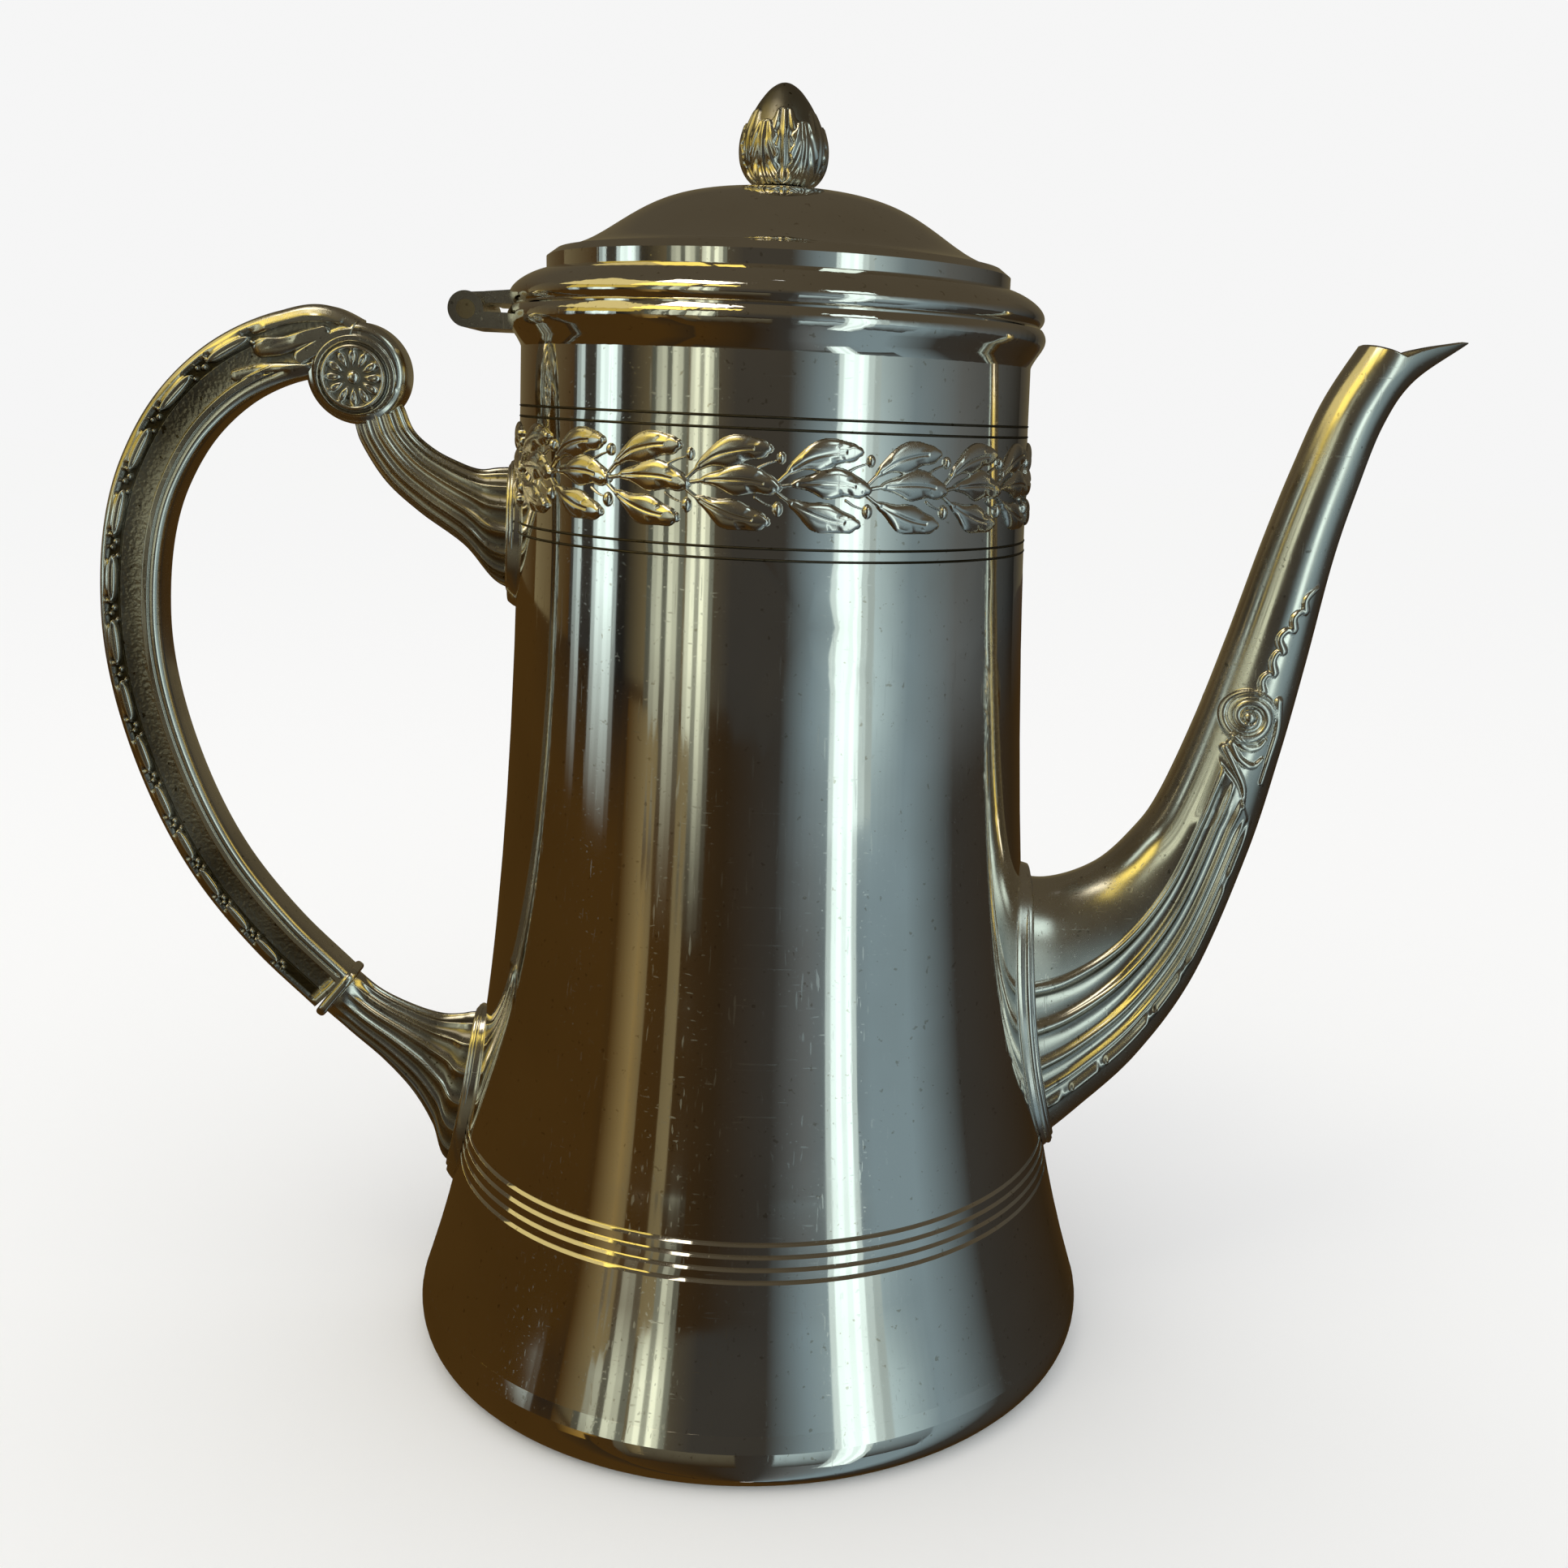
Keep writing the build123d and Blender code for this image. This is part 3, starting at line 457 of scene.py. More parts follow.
def silver(name, bright, dull, roughness, cloudy, dent):
    """Worn silver plate: tarnish in the recesses and in soft clouds, painted shadow where a piece's recess
    values hold it, hairlines and small dents.
    """
    material, nodes, links, output = new_material(name)
    shader = nodes.new("ShaderNodeBsdfPrincipled")
    shader.inputs["Metallic"].default_value = 1
    place = nodes.new("ShaderNodeTexCoord")

    def noise(scale, detail=4.0, stretch=None, turn=(0, 0, 0)):
        """A noise in the object's own metres, stretched and turned."""
        source = place.outputs["Object"]
        if stretch:
            shift = nodes.new("ShaderNodeMapping")
            shift.inputs["Scale"].default_value = stretch
            shift.inputs["Rotation"].default_value = turn
            links.new(source, shift.inputs["Vector"])
            source = shift.outputs["Vector"]
        texture = nodes.new("ShaderNodeTexNoise")
        texture.inputs["Scale"].default_value = scale
        texture.inputs["Detail"].default_value = detail
        links.new(source, texture.inputs["Vector"])
        return texture.outputs["Fac"]

    def spread(source, low, high, to_low, to_high):
        """A value moved from one range to another, and held inside it."""
        change = nodes.new("ShaderNodeMapRange")
        for socket, value in zip(("From Min", "From Max", "To Min", "To Max"), (low, high, to_low, to_high)):
            change.inputs[socket].default_value = value
        links.new(source, change.inputs["Value"])
        return change.outputs["Result"]

    def add(first, second, operation="ADD"):
        """Two values joined."""
        joint = nodes.new("ShaderNodeMath")
        joint.operation = operation
        links.new(first, joint.inputs[0])
        links.new(second, joint.inputs[1])
        return joint.outputs[0]

    # The recess values hold tarnish, and on the spout also a painted shadow under each rib
    recess = nodes.new("ShaderNodeAttribute")
    recess.attribute_name = "recess"
    clouds = spread(noise(cloud_scale), 0.42, 0.7, 0, cloudy)
    specks = spread(noise(speck_scale, 2), 0.68, 0.74, 0, 0.45)
    tarnish_and_shadow = add(add(recess.outputs["Fac"], clouds), specks)
    tint = nodes.new("ShaderNodeMix")
    tint.data_type = "RGBA"
    tint.inputs["A"].default_value = (*bright, 1)
    tint.inputs["B"].default_value = (*dull, 1)
    links.new(tarnish_and_shadow, tint.inputs["Factor"])
    links.new(tint.outputs["Result"], shader.inputs["Base Color"])

    hair = None
    for scale, stretch, turn, (faint, full) in hairlines:
        line = spread(noise(scale, 0, stretch, turn), faint, full, 0, 1)
        hair = line if hair is None else add(hair, line, "MAXIMUM")
    smudge = spread(noise(smudge_scale), 0.35, 0.75, roughness * 0.75, roughness * 1.5)
    matt = spread(recess.outputs["Fac"], 0.3, 0.9, 0, 0.35)
    links.new(add(add(smudge, matt), spread(hair, 0, 1, 0, 0.1)), shader.inputs["Roughness"])

    bump = nodes.new("ShaderNodeBump")
    bump.inputs["Strength"].default_value = dent
    bump.inputs["Distance"].default_value = dent_depth
    waves = noise(dent_scale, 2)
    grain = nodes.new("ShaderNodeAttribute")
    grain.attribute_name = "grain"
    stipple = add(noise(stipple_scale, 1), spread(grain.outputs["Fac"], 0, 1, 0, 1.6), "MULTIPLY")
    links.new(add(add(waves, stipple), spread(hair, 0, 1, 0, -0.02)), bump.inputs["Height"])
    links.new(bump.outputs["Normal"], shader.inputs["Normal"])
    links.new(shader.outputs["BSDF"], output.inputs["Surface"])
    return material


finishes = {
    "polished_plate": silver("polished_silver", (0.86, 0.83, 0.77), (0.34, 0.27, 0.16), 0.05, 0.16, 0.045),
    "cast_plate": silver("cast_silver", (0.82, 0.79, 0.7), (0.075, 0.055, 0.026), 0.19, 0.3, 0.22),
    "ornament_plate": silver("ornament_silver", (0.86, 0.83, 0.76), (0.07, 0.055, 0.03), 0.18, 0.12, 0.12),
    "inner_plate": silver("inner_silver", (0.6, 0.56, 0.48), (0.25, 0.18, 0.1), 0.3, 0.3, 0.3),
    "pin_metal": silver("pin_brass", (0.72, 0.6, 0.38), (0.2, 0.13, 0.06), 0.25, 0.3, 0.2),
}


def metal(piece, slot):
    """Gives a piece its slot's finish."""
    piece.data.materials.clear()
    piece.data.materials.append(finishes[slot])


for part in frame["record"]["subparts"]:
    metal(frame["nodes"][part["node"]], part["material_slot"])


# Horns: the spout and the two sockets, as rows of oval sections
class Horn:
    """Oval sections from upper edge to lower edge, given from an origin on the pot."""

    def __init__(self, origin, sections):
        rows = [[*upper, *lower, depth] for upper, lower, depth in sections]
        self.rows = np.array(rows, float)
        self.rows[:, :4] += (*origin, *origin)
        middle = (self.rows[:, :2] + self.rows[:, 2:4]) / 2
        self.length = np.linalg.norm(np.diff(middle, axis=0), axis=1).sum()
        self.knots = np.arange(len(rows), dtype=float)
        self.last = len(rows) - 1

    def read(self, along, turn, outset=0.0):
        """Points, outward directions and chord lengths; turn is 0 on top and goes by the front."""
        along, turn = np.broadcast_arrays(along, turn)
        row = through(self.rows, along, self.knots)
        upper, lower, depth = row[..., :2], row[..., 2:4], row[..., 4]
        chord = np.linalg.norm(upper - lower, axis=-1)
        rise = (upper - lower) / chord[..., None]
        middle = (upper + lower) / 2
        up, out = np.cos(turn), np.sin(turn)
        reach = chord / 2 + outset
        half_depth = np.maximum(depth / 2 + outset, 0.4)
        flat = middle + (reach * up)[..., None] * rise
        points = np.stack([flat[..., 0], -half_depth * out, flat[..., 1]], axis=-1)
        lean, side = up / reach, out / half_depth
        normal = np.stack([lean * rise[..., 0], -side, lean * rise[..., 1]], axis=-1)
        normal /= np.linalg.norm(normal, axis=-1)[..., None]
        return points, normal, chord

    def meeting(self, turn, outset, gap, first=0.0, last=None):
        """Where each column along the horn crosses a surface that gap measures."""
        steps = np.linspace(first, self.last if last is None else last, 900)
        points, _, _ = self.read(steps[:, None], turn[None, :], outset)
        level = gap(points)
        inside = level[:-1] < 0
        crossing = inside & (level[1:] >= 0)
        index = crossing.argmax(axis=0)
        index = np.where(crossing.any(axis=0), index, 0)
        columns = np.arange(len(turn))
        low, high = level[index, columns], level[index + 1, columns]
        share = np.clip(-low / np.where(high == low, 1, high - low), 0, 1)
        found = steps[index] + share * (steps[1] - steps[0])
        return np.where(crossing.any(axis=0), found, steps[-1])


def wall_gap(points, standoff=0.0):
    """Distance outwards from the wall of the pot."""
    return np.hypot(points[..., 0], points[..., 1]) - body_radius(points[..., 2]) - standoff


# Spout
spout = Horn(spout_root, [
    ((-6.9, 24.5), (1.7, -29.5), 28.0),
    ((2.2, 23.2), (10.7, -21.2), 25.0),
    ((11.2, 26.5), (21.2, -10.3), 21.0),
    ((17.7, 33.0), (30.7, 5.5), 18.5),
    ((21.7, 39.5), (38.4, 29.0), 16.5),
    ((26.7, 53.0), (42.5, 47.5), 14.5),
    ((31.2, 68.0), (45.4, 64.0), 13.0),
    ((35.7, 84.5), (48.2, 82.0), 12.0),
    ((39.7, 97.5), (51.1, 94.5), 11.5),
    ((43.9, 109.0), (54.2, 105.0), 11.0),
    ((50.2, 120.0), (58.5, 112.3), 10.6),
    ((56.2, 130.0), (67.4, 119.0), 5.0),
])
spout_mouth = np.array([
    (45.2, 118.1), (50.2, 117.8), (52.7, 117.2), (55.5, 116.2), (58.2, 117.3), (61.2, 118.1),
    (67.7, 119.3),
]) + spout_root
spout_wall = 1.0
spout_start = 1.2
rib_shares = (0.35, 0.49, 0.63, 0.735, 0.81)
rib_ends = (4.66, 4.59, 4.48, 4.3, 4.3)
rib_half_width = 0.9
rib_height = 0.6
flute_depth = 0.85
# Width of the painted shadow that runs along the lower side of each rib
rib_shadow_width = 0.4
full_chord = 34
scroll_centre = (83.3, 116.2)
scroll_radius = 4.3
scroll_turns = 1.55
leaf_edge = [(76.6, 114.2), (78.0, 110.6), (79.8, 107.4), (82.2, 104.4), (84.0, 100.4), (86.4, 95.0)]
leaf_scallops = [
    [(85.3, 120.6), (85.0, 122.6), (86.0, 123.8), (87.2, 123.6)],
    [(87.0, 124.0), (86.6, 126.2), (87.4, 127.6), (88.6, 127.6)],
    [(88.2, 127.8), (87.4, 130.0), (88.6, 131.4), (90.0, 131.2)],
    [(89.8, 131.6), (89.6, 133.6), (90.8, 134.6), (91.8, 134.4)],
    [(91.6, 134.8), (91.4, 136.6), (92.4, 137.8), (93.4, 138.6)],
]
leaf_fronds = [
    [(81.0, 112.6), (83.0, 110.9), (85.4, 110.9), (86.6, 112.2)],
    [(80.6, 111.4), (82.4, 108.6), (85.0, 107.6), (86.4, 108.8)],
    [(79.6, 110.6), (81.6, 107.2), (83.4, 103.6), (83.6, 100.4)],
    [(88.4, 119.0), (88.8, 114.0), (87.8, 109.0), (86.8, 104.5)],
]


def spout_scale(turn, chord):
    """How fast the share of the chord runs round the horn, and how large the relief is."""
    across = np.maximum(np.abs(np.sin(turn)), 0.35)
    size = np.clip(chord / full_chord, 0.42, 1.1)
    return across, size


def spout_relief(along, turn, points, chord):
    """Flutes, ribs, keel beads, scroll and leaf on the sides of the spout, in height."""
    share = (1 - np.cos(turn)) / 2
    x, z = points[..., 0], points[..., 2]
    across, size = spout_scale(turn, chord)
    height = np.zeros(share.shape)
    for first, second, end in zip(rib_shares[:-1], rib_shares[1:], rib_ends[1:]):
        place = np.clip((share - first) / (second - first), 0, 1)
        fade = 1 - step_up(along, end - 0.25, end + 0.02)
        height -= flute_depth * size * fade * np.sin(pi * place) ** 0.8
    for rib, end in zip(rib_shares[:4], rib_ends[:4]):
        gap = np.abs(share - rib) * chord / across
        fade = 1 - step_up(along, end - 0.12, end + 0.05)
        height += fade * size * rib_height * dome(gap, rib_half_width * size)
    keel_gap = np.abs(share - rib_shares[4]) * chord / across
    beat = np.abs(np.sin(pi * (along * 1.35 + 0.1 * np.sin(5 * along))))
    keel = dome(keel_gap, 0.95 * size) * step_up(beat, 0.12, 0.5)
    height += 0.55 * size * keel * (1 - step_up(along, 4.1, 4.4)) * step_up(along, 0.3, 0.6)
    side = step_up(np.abs(np.sin(turn)), 0.15, 0.45)
    edge_line = through(leaf_edge, np.linspace(0, 1, 24))
    distance, edge_share, edge_side = nearest_on(x, z, edge_line)
    beyond = np.where(edge_side > 0, -distance, distance)
    near_leaf = side * (1 - step_up(z, 112, 116)) * step_up(z, 96, 100) * step_up(share, 0.25, 0.38)
    height += 0.55 * near_leaf * step_up(beyond, -0.05, 0.4)
    from_scroll = np.hypot(x - scroll_centre[0], z - scroll_centre[1])
    height += 0.5 * side * (1 - step_up(from_scroll, scroll_radius, scroll_radius + 0.7))
    angle = np.arctan2(z - scroll_centre[1], x - scroll_centre[0])
    pitch = scroll_radius / (scroll_turns + 0.35)
    wound = (from_scroll + pitch * (angle - 2.4) / (2 * pi)) / pitch
    ring = np.abs(wound - np.round(wound)) * pitch
    height += 0.75 * side * dome(ring, 0.8) * (from_scroll < scroll_radius + 0.4) * (from_scroll > 1.2)
    height += 1.0 * side * dome(from_scroll, 1.15)
    height += side * strokes(x, z, leaf_fronds, 0.8, 0.75)
    height += side * strokes(x, z, leaf_scallops, 0.75, 0.6)
    return height


def spout_rib_shadows(along, turn, chord):
    """How dark the painted shadow is that runs along the crease under each rib, 1 at its middle."""
    share = (1 - np.cos(turn)) / 2
    across, size = spout_scale(turn, chord)
    painted_shadow = np.zeros(share.shape)
    for rib, end in zip(rib_shares, rib_ends):
        below = (share - rib) * chord / across - (rib_half_width + 0.2) * size
        fade = 1 - step_up(along, end - 0.12, end + 0.05)
        painted_shadow = np.maximum(painted_shadow, fade * np.exp(-((below / (rib_shadow_width * size)) ** 2)))
    return painted_shadow


def add_spout():
    """The hollow spout: outside, lip and bore."""
    columns = 352
    turn = np.arange(columns) * 2 * pi / columns

    def over_mouth(points):
        cut = np.interp(points[..., 0], spout_mouth[:, 0], spout_mouth[:, 1])
        return points[..., 2] - cut

    def skin(outset, rows_at, relief):
        start = spout.meeting(turn, outset, lambda p: wall_gap(p, spout_start), 0, 4)
        end = spout.meeting(turn, outset, over_mouth, 6)
        along = start + (end - start) * rows_at[:, None]
        points, normal, chord = spout.read(along, turn[None, :], outset)
        if not relief:
            return points, None
        around = np.broadcast_to(turn, along.shape)
        height = spout_relief(along, around, points, chord)
        painted_shadow = spout_rib_shadows(along, around, chord)
        # Painted shadow under each rib, with tarnish that deepens in the flutes
        shade = np.clip(0.85 * painted_shadow - 0.12 * height, 0, 0.8)
        return points + normal * height[..., None], shade

    dense = np.linspace(0, 1, 900)
    outside, shade = skin(0.0, dense, True)
    bore, _ = skin(-spout_wall, np.linspace(1, 0, 90), False)
    lip = (outside[-1:] + bore[:1]) / 2
    lip[..., 2] += 0.25
    points = np.concatenate([outside, lip, bore])
    recess = np.zeros(points.shape[:2])
    recess[: len(dense)] = shade
    recess[len(dense) + 1:] = 0.8
    faces = grid_faces(len(points), columns, True)
    return add_piece("spout_casting", "pot", "cast_plate", points, faces, recess, ["spout"])


add_spout()


# Sockets
upper_socket = Horn(volute_centre, [
    ((4.8, -0.1), (-2.8, -2.3), 6.4),
    ((7.0, -4.0), (-1.2, -6.5), 7.2),
    ((8.7, -8.0), (0.0, -10.5), 7.8),
    ((11.7, -10.7), (3.8, -16.5), 8.8),
    ((15.2, -12.5), (9.3, -21.4), 10.2),
    ((19.2, -13.8), (16.5, -26.5), 12.2),
    ((22.9, -13.4), (22.3, -32.8), 13.8),
    ((29.8, -13.0), (29.8, -34.0), 14.0),
])
ring_tilt = radians(39)
ring_face = (grip_width / 2 * sin(ring_tilt), grip_width / 2 * cos(ring_tilt))
lower_socket = Horn(ring_centre, [
    (ring_face, (-ring_face[0], -ring_face[1]), handle_depth),
    ((7.7, -0.3), (1.7, -8.1), 8.0),
    ((13.4, -3.1), (7.5, -13.5), 9.2),
    ((18.0, -4.4), (12.5, -19.5), 11.0),
    ((21.5, -4.3), (16.0, -26.0), 13.2),
    ((24.3, -3.9), (18.3, -33.0), 15.6),
    ((31.0, -3.9), (24.5, -35.0), 16.4),
])
socket_flutes = 16
socket_flute_depth = 0.9
socket_seat = 0.9


def add_socket(name, horn, node):
    """A fluted horn from the handle to its collar on the wall."""
    columns, rows = 264, 120
    turn = np.arange(columns) * 2 * pi / columns
    end = horn.meeting(turn, 0.0, lambda p: -wall_gap(p, socket_seat), 2)
    along = end * np.linspace(0, 1, rows)[:, None]
    points, normal, chord = horn.read(along, turn[None, :])
    wave = np.abs(np.sin(turn * socket_flutes / 2)) ** 0.7
    fade = step_up(along, 0.1, 0.8)
    height = -socket_flute_depth * (wave[None, :] * fade) * np.clip(chord / 16, 0.5, 1)
    points = points + normal * height[..., None]
    recess = np.clip(-height / socket_flute_depth, 0, 1) ** 2 * 0.55
    faces = grid_faces(rows, columns, True)
    return add_piece(name, "pot", "cast_plate", points, faces, recess, [node])


add_socket("upper_socket_casting", upper_socket, "upper_socket")
add_socket("lower_socket_casting", lower_socket, "lower_socket")


def add_reed(name, horn, outset, standoff, radius, first, last):
    """A fine half-round line that follows a horn's foot along the wall."""
    turn = np.arange(160) * 2 * pi / 160
    if first > last:
        found = horn.meeting(turn, outset, lambda p: -wall_gap(p, standoff), last)
    else:
        found = horn.meeting(turn, outset, lambda p: wall_gap(p, standoff), first, last)
    points, _, _ = horn.read(found, turn, outset)
    add_tube(name, "pot", "ornament_plate", points, radius)


for reed, (outset, standoff) in enumerate(((0.45, 1.5), (1.5, 1.0))):
    add_reed(f"spout_reed_{reed}", spout, outset, standoff, 0.62, 0, 4)
    add_reed(f"upper_socket_reed_{reed}", upper_socket, 0.2 + 0.6 * reed, standoff, 0.5, 9, 3)
    add_reed(f"lower_socket_reed_{reed}", lower_socket, 0.2 + 0.6 * reed, standoff, 0.5, 9, 3)


# Handle: the grip's middle line, its section and the relief on its two sides
handle_bow = 38.45
bow_shares = [
    (0.458, 0.1), (0.7, 0.221), (0.882, 0.371), (1.0, 0.629), (0.88, 0.843),
    (0.713, 0.939), (0.486, 1.009), (0.268, 1.043), (0.125, 1.052), (0.037, 1.038),
]
grip_line = [(ring_centre[0] - 0.85 * cos(ring_tilt), ring_centre[1] + 0.85 * sin(ring_tilt))]
grip_line += [
    (volute_centre[0] - out * handle_bow, ring_centre[1] + up * (volute_centre[1] - ring_centre[1]))
    for out, up in bow_shares
]
edge_radius = 1.5
relief_width = 10.4
garland_line = 2.85
garland_start = (-107.9, 132.5)
bead_half_width = 1.0
upper_beads = 4
upper_bead_pitch = 10.5
upper_bead_share = 0.34
lower_bead_pitch = 10.2
lower_bead_share = 0.36
least_bead_pitch = 7.4
bead_pitch_step = 0.55
garland_end = 6
# Small beads between two long ones: shift along, shift across and size
small_beads = ((-1.0, 0.35, 0.5), (-1.28, -0.3, 0.55), (-1.55, 0.25, 0.45), (1.02, -0.75, 0.42))
top_leaves = (
    ([(-83.0, 170.6), (-79.8, 170.9), (-76.4, 172.2), (-73.0, 173.4)], 1.6, 0.8),
    (
        [(-77.0, 169.4), (-74.0, 171.0), (-70.4, 173.0), (-66.6, 173.1), (-63.6, 171.0), (-62.2, 167.8)],
        1.1, 0.75,
    ),
    ([(-87.4, 166.0), (-82.4, 167.4), (-78.0, 167.7), (-74.6, 167.6)], 0.9, 0.45),
)
rim_lines = [
    [(-84.0, 173.0), (-78.6, 174.9), (-72.6, 175.4), (-67.2, 174.8), (-63.4, 172.4), (-61.2, 168.9),
     (-61.0, 165.6), (-62.2, 162.6), (-64.2, 160.6)],
]


def flank_relief(x, z, across, along, marks):
    """How far the grip's flank stands out at a place: garland, sunk panel and two beads."""
    body = step_up(along, 0.6, 2.2)
    top = 1 - step_up(x, -84.5, -81.0) * (z > 150)
    sunk = body * (1 - step_up(x, -79.0, -74.0) * (z > 150))
    ground = np.zeros(x.shape)
    ground -= 0.75 * body * step_up(across, 1.5, 1.75) * (1 - step_up(across, 3.95, 4.2)) * top
    panel = step_up(across, -2.35, -2.0) * (1 - step_up(across, 1.5, 1.8))
    ground -= (0.62 + 0.2 * (1 - (across / 2.2) ** 2)) * sunk * panel * top
    smooth_top = (1 - top) * step_up(across, -3.6, -1.5) * (1 - step_up(across, 0.5, 2.0))
    ground -= 0.5 * sunk * smooth_top
    groove = step_up(across, -3.75, -3.55) * (1 - step_up(across, -3.4, -3.2))
    ground -= 0.4 * body * groove * (1 - step_up(x, -82.0, -78.0) * (z > 150))
    bead_line = dome(across + 4.0, 0.42) * (0.72 + 0.28 * np.cos(2 * pi * along / 0.9))
    ground += 0.12 * body * bead_line * top
    garland = np.zeros(x.shape)
    for place, half in marks:
        off = (along - place) / half
        slender = bead_half_width * np.sqrt(np.clip(1 - np.abs(off) ** 2.6, 0, 1))
        long_bead = np.sqrt(np.clip(1 - ((across - garland_line) / np.maximum(slender, 1e-3)) ** 2, 0, 1))
        crease = 0.12 * np.exp(-(((across - garland_line + 0.1) / 0.22) ** 2))
        long_bead = np.where(np.abs(off) < 1, long_bead * (1 - crease), 0)
        garland = np.maximum(garland, 1.1 * long_bead)
        for shift, lean, size in small_beads:
            gap = np.hypot(along - place - shift * half, across - garland_line - lean)
            garland = np.maximum(garland, 0.7 * dome(gap, size))
    return ground + garland * body * top


def across_middle(across):
    """1 on the middle of the flank, 0 at its edges."""
    return step_up(across, -3.4, -2.6) * (1 - step_up(across, 2.6, 3.6))


def arc_lengths(line):
    """Distance along a line of points at each of them."""
    return np.concatenate([[0], np.cumsum(np.linalg.norm(np.diff(line, axis=0), axis=1))])


def volute_disc(corner):
    """The volute as a round disc with two flat faces: its points, and how far each is lifted."""
    depth, bend = handle_depth / 2, edge_radius
    columns, face_rows = 160, 50
    turn = np.arange(columns) * 2 * pi / columns
    radii = np.concatenate([
        np.linspace(0.6, volute_radius - bend, face_rows),
        volute_radius - bend + bend * np.sin(corner),
        [volute_radius],
    ])
    depths = np.concatenate([np.full(face_rows, depth), depth - bend + bend * np.cos(corner), [0]])
    radii = np.concatenate([radii, radii[-2::-1]])
    depths = np.concatenate([-depths, depths[-2::-1]])
    x = volute_centre[0] + volute_shift[0] + radii[:, None] * np.cos(turn)
    z = volute_centre[1] + volute_shift[1] + radii[:, None] * np.sin(turn)
    face = np.broadcast_to((np.abs(depths) > depth - 0.01)[:, None], x.shape)
    from_rosette = np.hypot(x - volute_centre[0], z - volute_centre[1])
    lines = 0.45 * dome(from_rosette - 6.1, 0.55) - 0.35 * dome(from_rosette - 5.4, 0.3)
    edge_line = strokes(x, z, rim_lines, 0.6, 0.35)
    lift = np.where(face, np.maximum(lines, edge_line) + np.minimum(lines, 0), 0)
    y = np.broadcast_to(depths[:, None], x.shape)
    y = np.clip(y + np.sign(y) * lift, -depth - 0.3, depth + 0.3)
    return np.stack([x, y, z], axis=-1), lift


def add_handle():
    """The grip with its relief, and the volute at its top."""
    rows = 900
    line = through(grip_line, np.linspace(0, 1, rows))
    length = arc_lengths(line)
    ahead = np.gradient(line, axis=0)
    ahead /= np.linalg.norm(ahead, axis=1)[:, None]
    outward = np.stack([-ahead[:, 1], ahead[:, 0]], axis=1)
    outward *= -np.sign(outward[rows // 2, 0])
    anchor = length[np.hypot(line[:, 0] - garland_start[0], line[:, 1] - garland_start[1]).argmin()]
    upper_half = upper_bead_share * upper_bead_pitch
    marks = [(anchor + upper_bead_pitch * i, upper_half) for i in range(1, upper_beads + 1)]
    place, pitch = anchor, lower_bead_pitch
    while place > garland_end:
        marks.append((place, lower_bead_share * pitch))
        place -= pitch
        pitch = max(least_bead_pitch, pitch - bead_pitch_step)
    half, depth, bend = grip_width / 2, handle_depth / 2, edge_radius
    widening = 1 + (grip_top_width / grip_width - 1) * (length / length[-1]) ** 2
    corner = np.linspace(0, pi / 2, 7)
    flat = np.linspace(half - bend, bend - half, 96)[1:-1]
    across = np.concatenate([
        [half, half], half - bend + bend * np.cos(corner), flat,
        bend - half - bend * np.sin(corner), [-half, -half],
    ])
    outer_y = np.concatenate([
        [0, bend - depth + 1.6], bend - depth - bend * np.sin(corner), np.full(len(flat), -depth),
        bend - depth - bend * np.cos(corner), [bend - depth + 1.6, 0],
    ])
    across = np.concatenate([across, across[-2:0:-1]])
    flank = np.concatenate([outer_y, -outer_y[-2:0:-1]])
    reach = widening[:, None] * across
    x = line[:, :1] + outward[:, :1] * reach
    z = line[:, 1:] + outward[:, 1:] * reach
    grid_across = np.broadcast_to(across * relief_width / grip_width, x.shape)
    along = np.broadcast_to(length[:, None], x.shape)
    on_flank = np.abs(np.broadcast_to(flank, x.shape)) > depth - 0.01
    relief = flank_relief(x, z, grid_across, along, marks)
    near_top = z > 158
    leaf = strokes(x, z, rim_lines, 0.6, 0.5)
    for leaf_line, half_width, tall in top_leaves:
        leaf = np.maximum(leaf, strokes(x, z, [leaf_line], half_width, tall))
    leaf -= 0.45 * (leaf < 0.05) * step_up(x, -84.0, -81.0) * across_middle(grid_across)
    relief = np.where(on_flank, relief + np.where(near_top, leaf, 0), 0)
    y = flank + np.sign(flank) * relief
    y = np.clip(y, -depth - 0.25, depth + 0.25)
    points = np.stack([x, y, z], axis=-1)
    beside_beads = step_up(grid_across, 1.5, 1.8) * (1 - step_up(grid_across, 4.0, 4.3))
    recess = np.clip(-relief * (0.72 + 0.45 * beside_beads), 0, 0.88)
    faces = grid_faces(rows, len(across), True).tolist()
    faces.append(list(range(len(across)))[::-1])
    faces.append([(rows - 1) * len(across) + i for i in range(len(across))])
    grip_points = points.reshape(-1, 3)

    disc, lift = volute_disc(corner)
    start = len(grip_points)
    disc_rows, disc_columns = lift.shape
    faces += grid_faces(disc_rows, disc_columns, True, start).tolist()
    faces.append([start + i for i in range(disc_columns)])
    faces.append([start + (disc_rows - 1) * disc_columns + i for i in range(disc_columns)][::-1])
    all_points = np.concatenate([grip_points, disc.reshape(-1, 3)])
    all_recess = np.concatenate([recess.ravel(), np.clip(-lift, 0, 1).ravel()])
    piece = add_piece("handle_grip", "pot", "cast_plate", all_points, faces, all_recess, ["handle_scroll"])
    sunk = np.concatenate([step_up(-relief, 0.35, 0.5).ravel(), np.zeros(len(all_points) - relief.size)])
    grain = piece.data.attributes.new("grain", "FLOAT", "POINT")
    grain.data.foreach_set("value", sunk)
    return piece


add_handle()


# Rosettes
rosette_radius = 5.2
rosette_height = 1.1
petals = 12


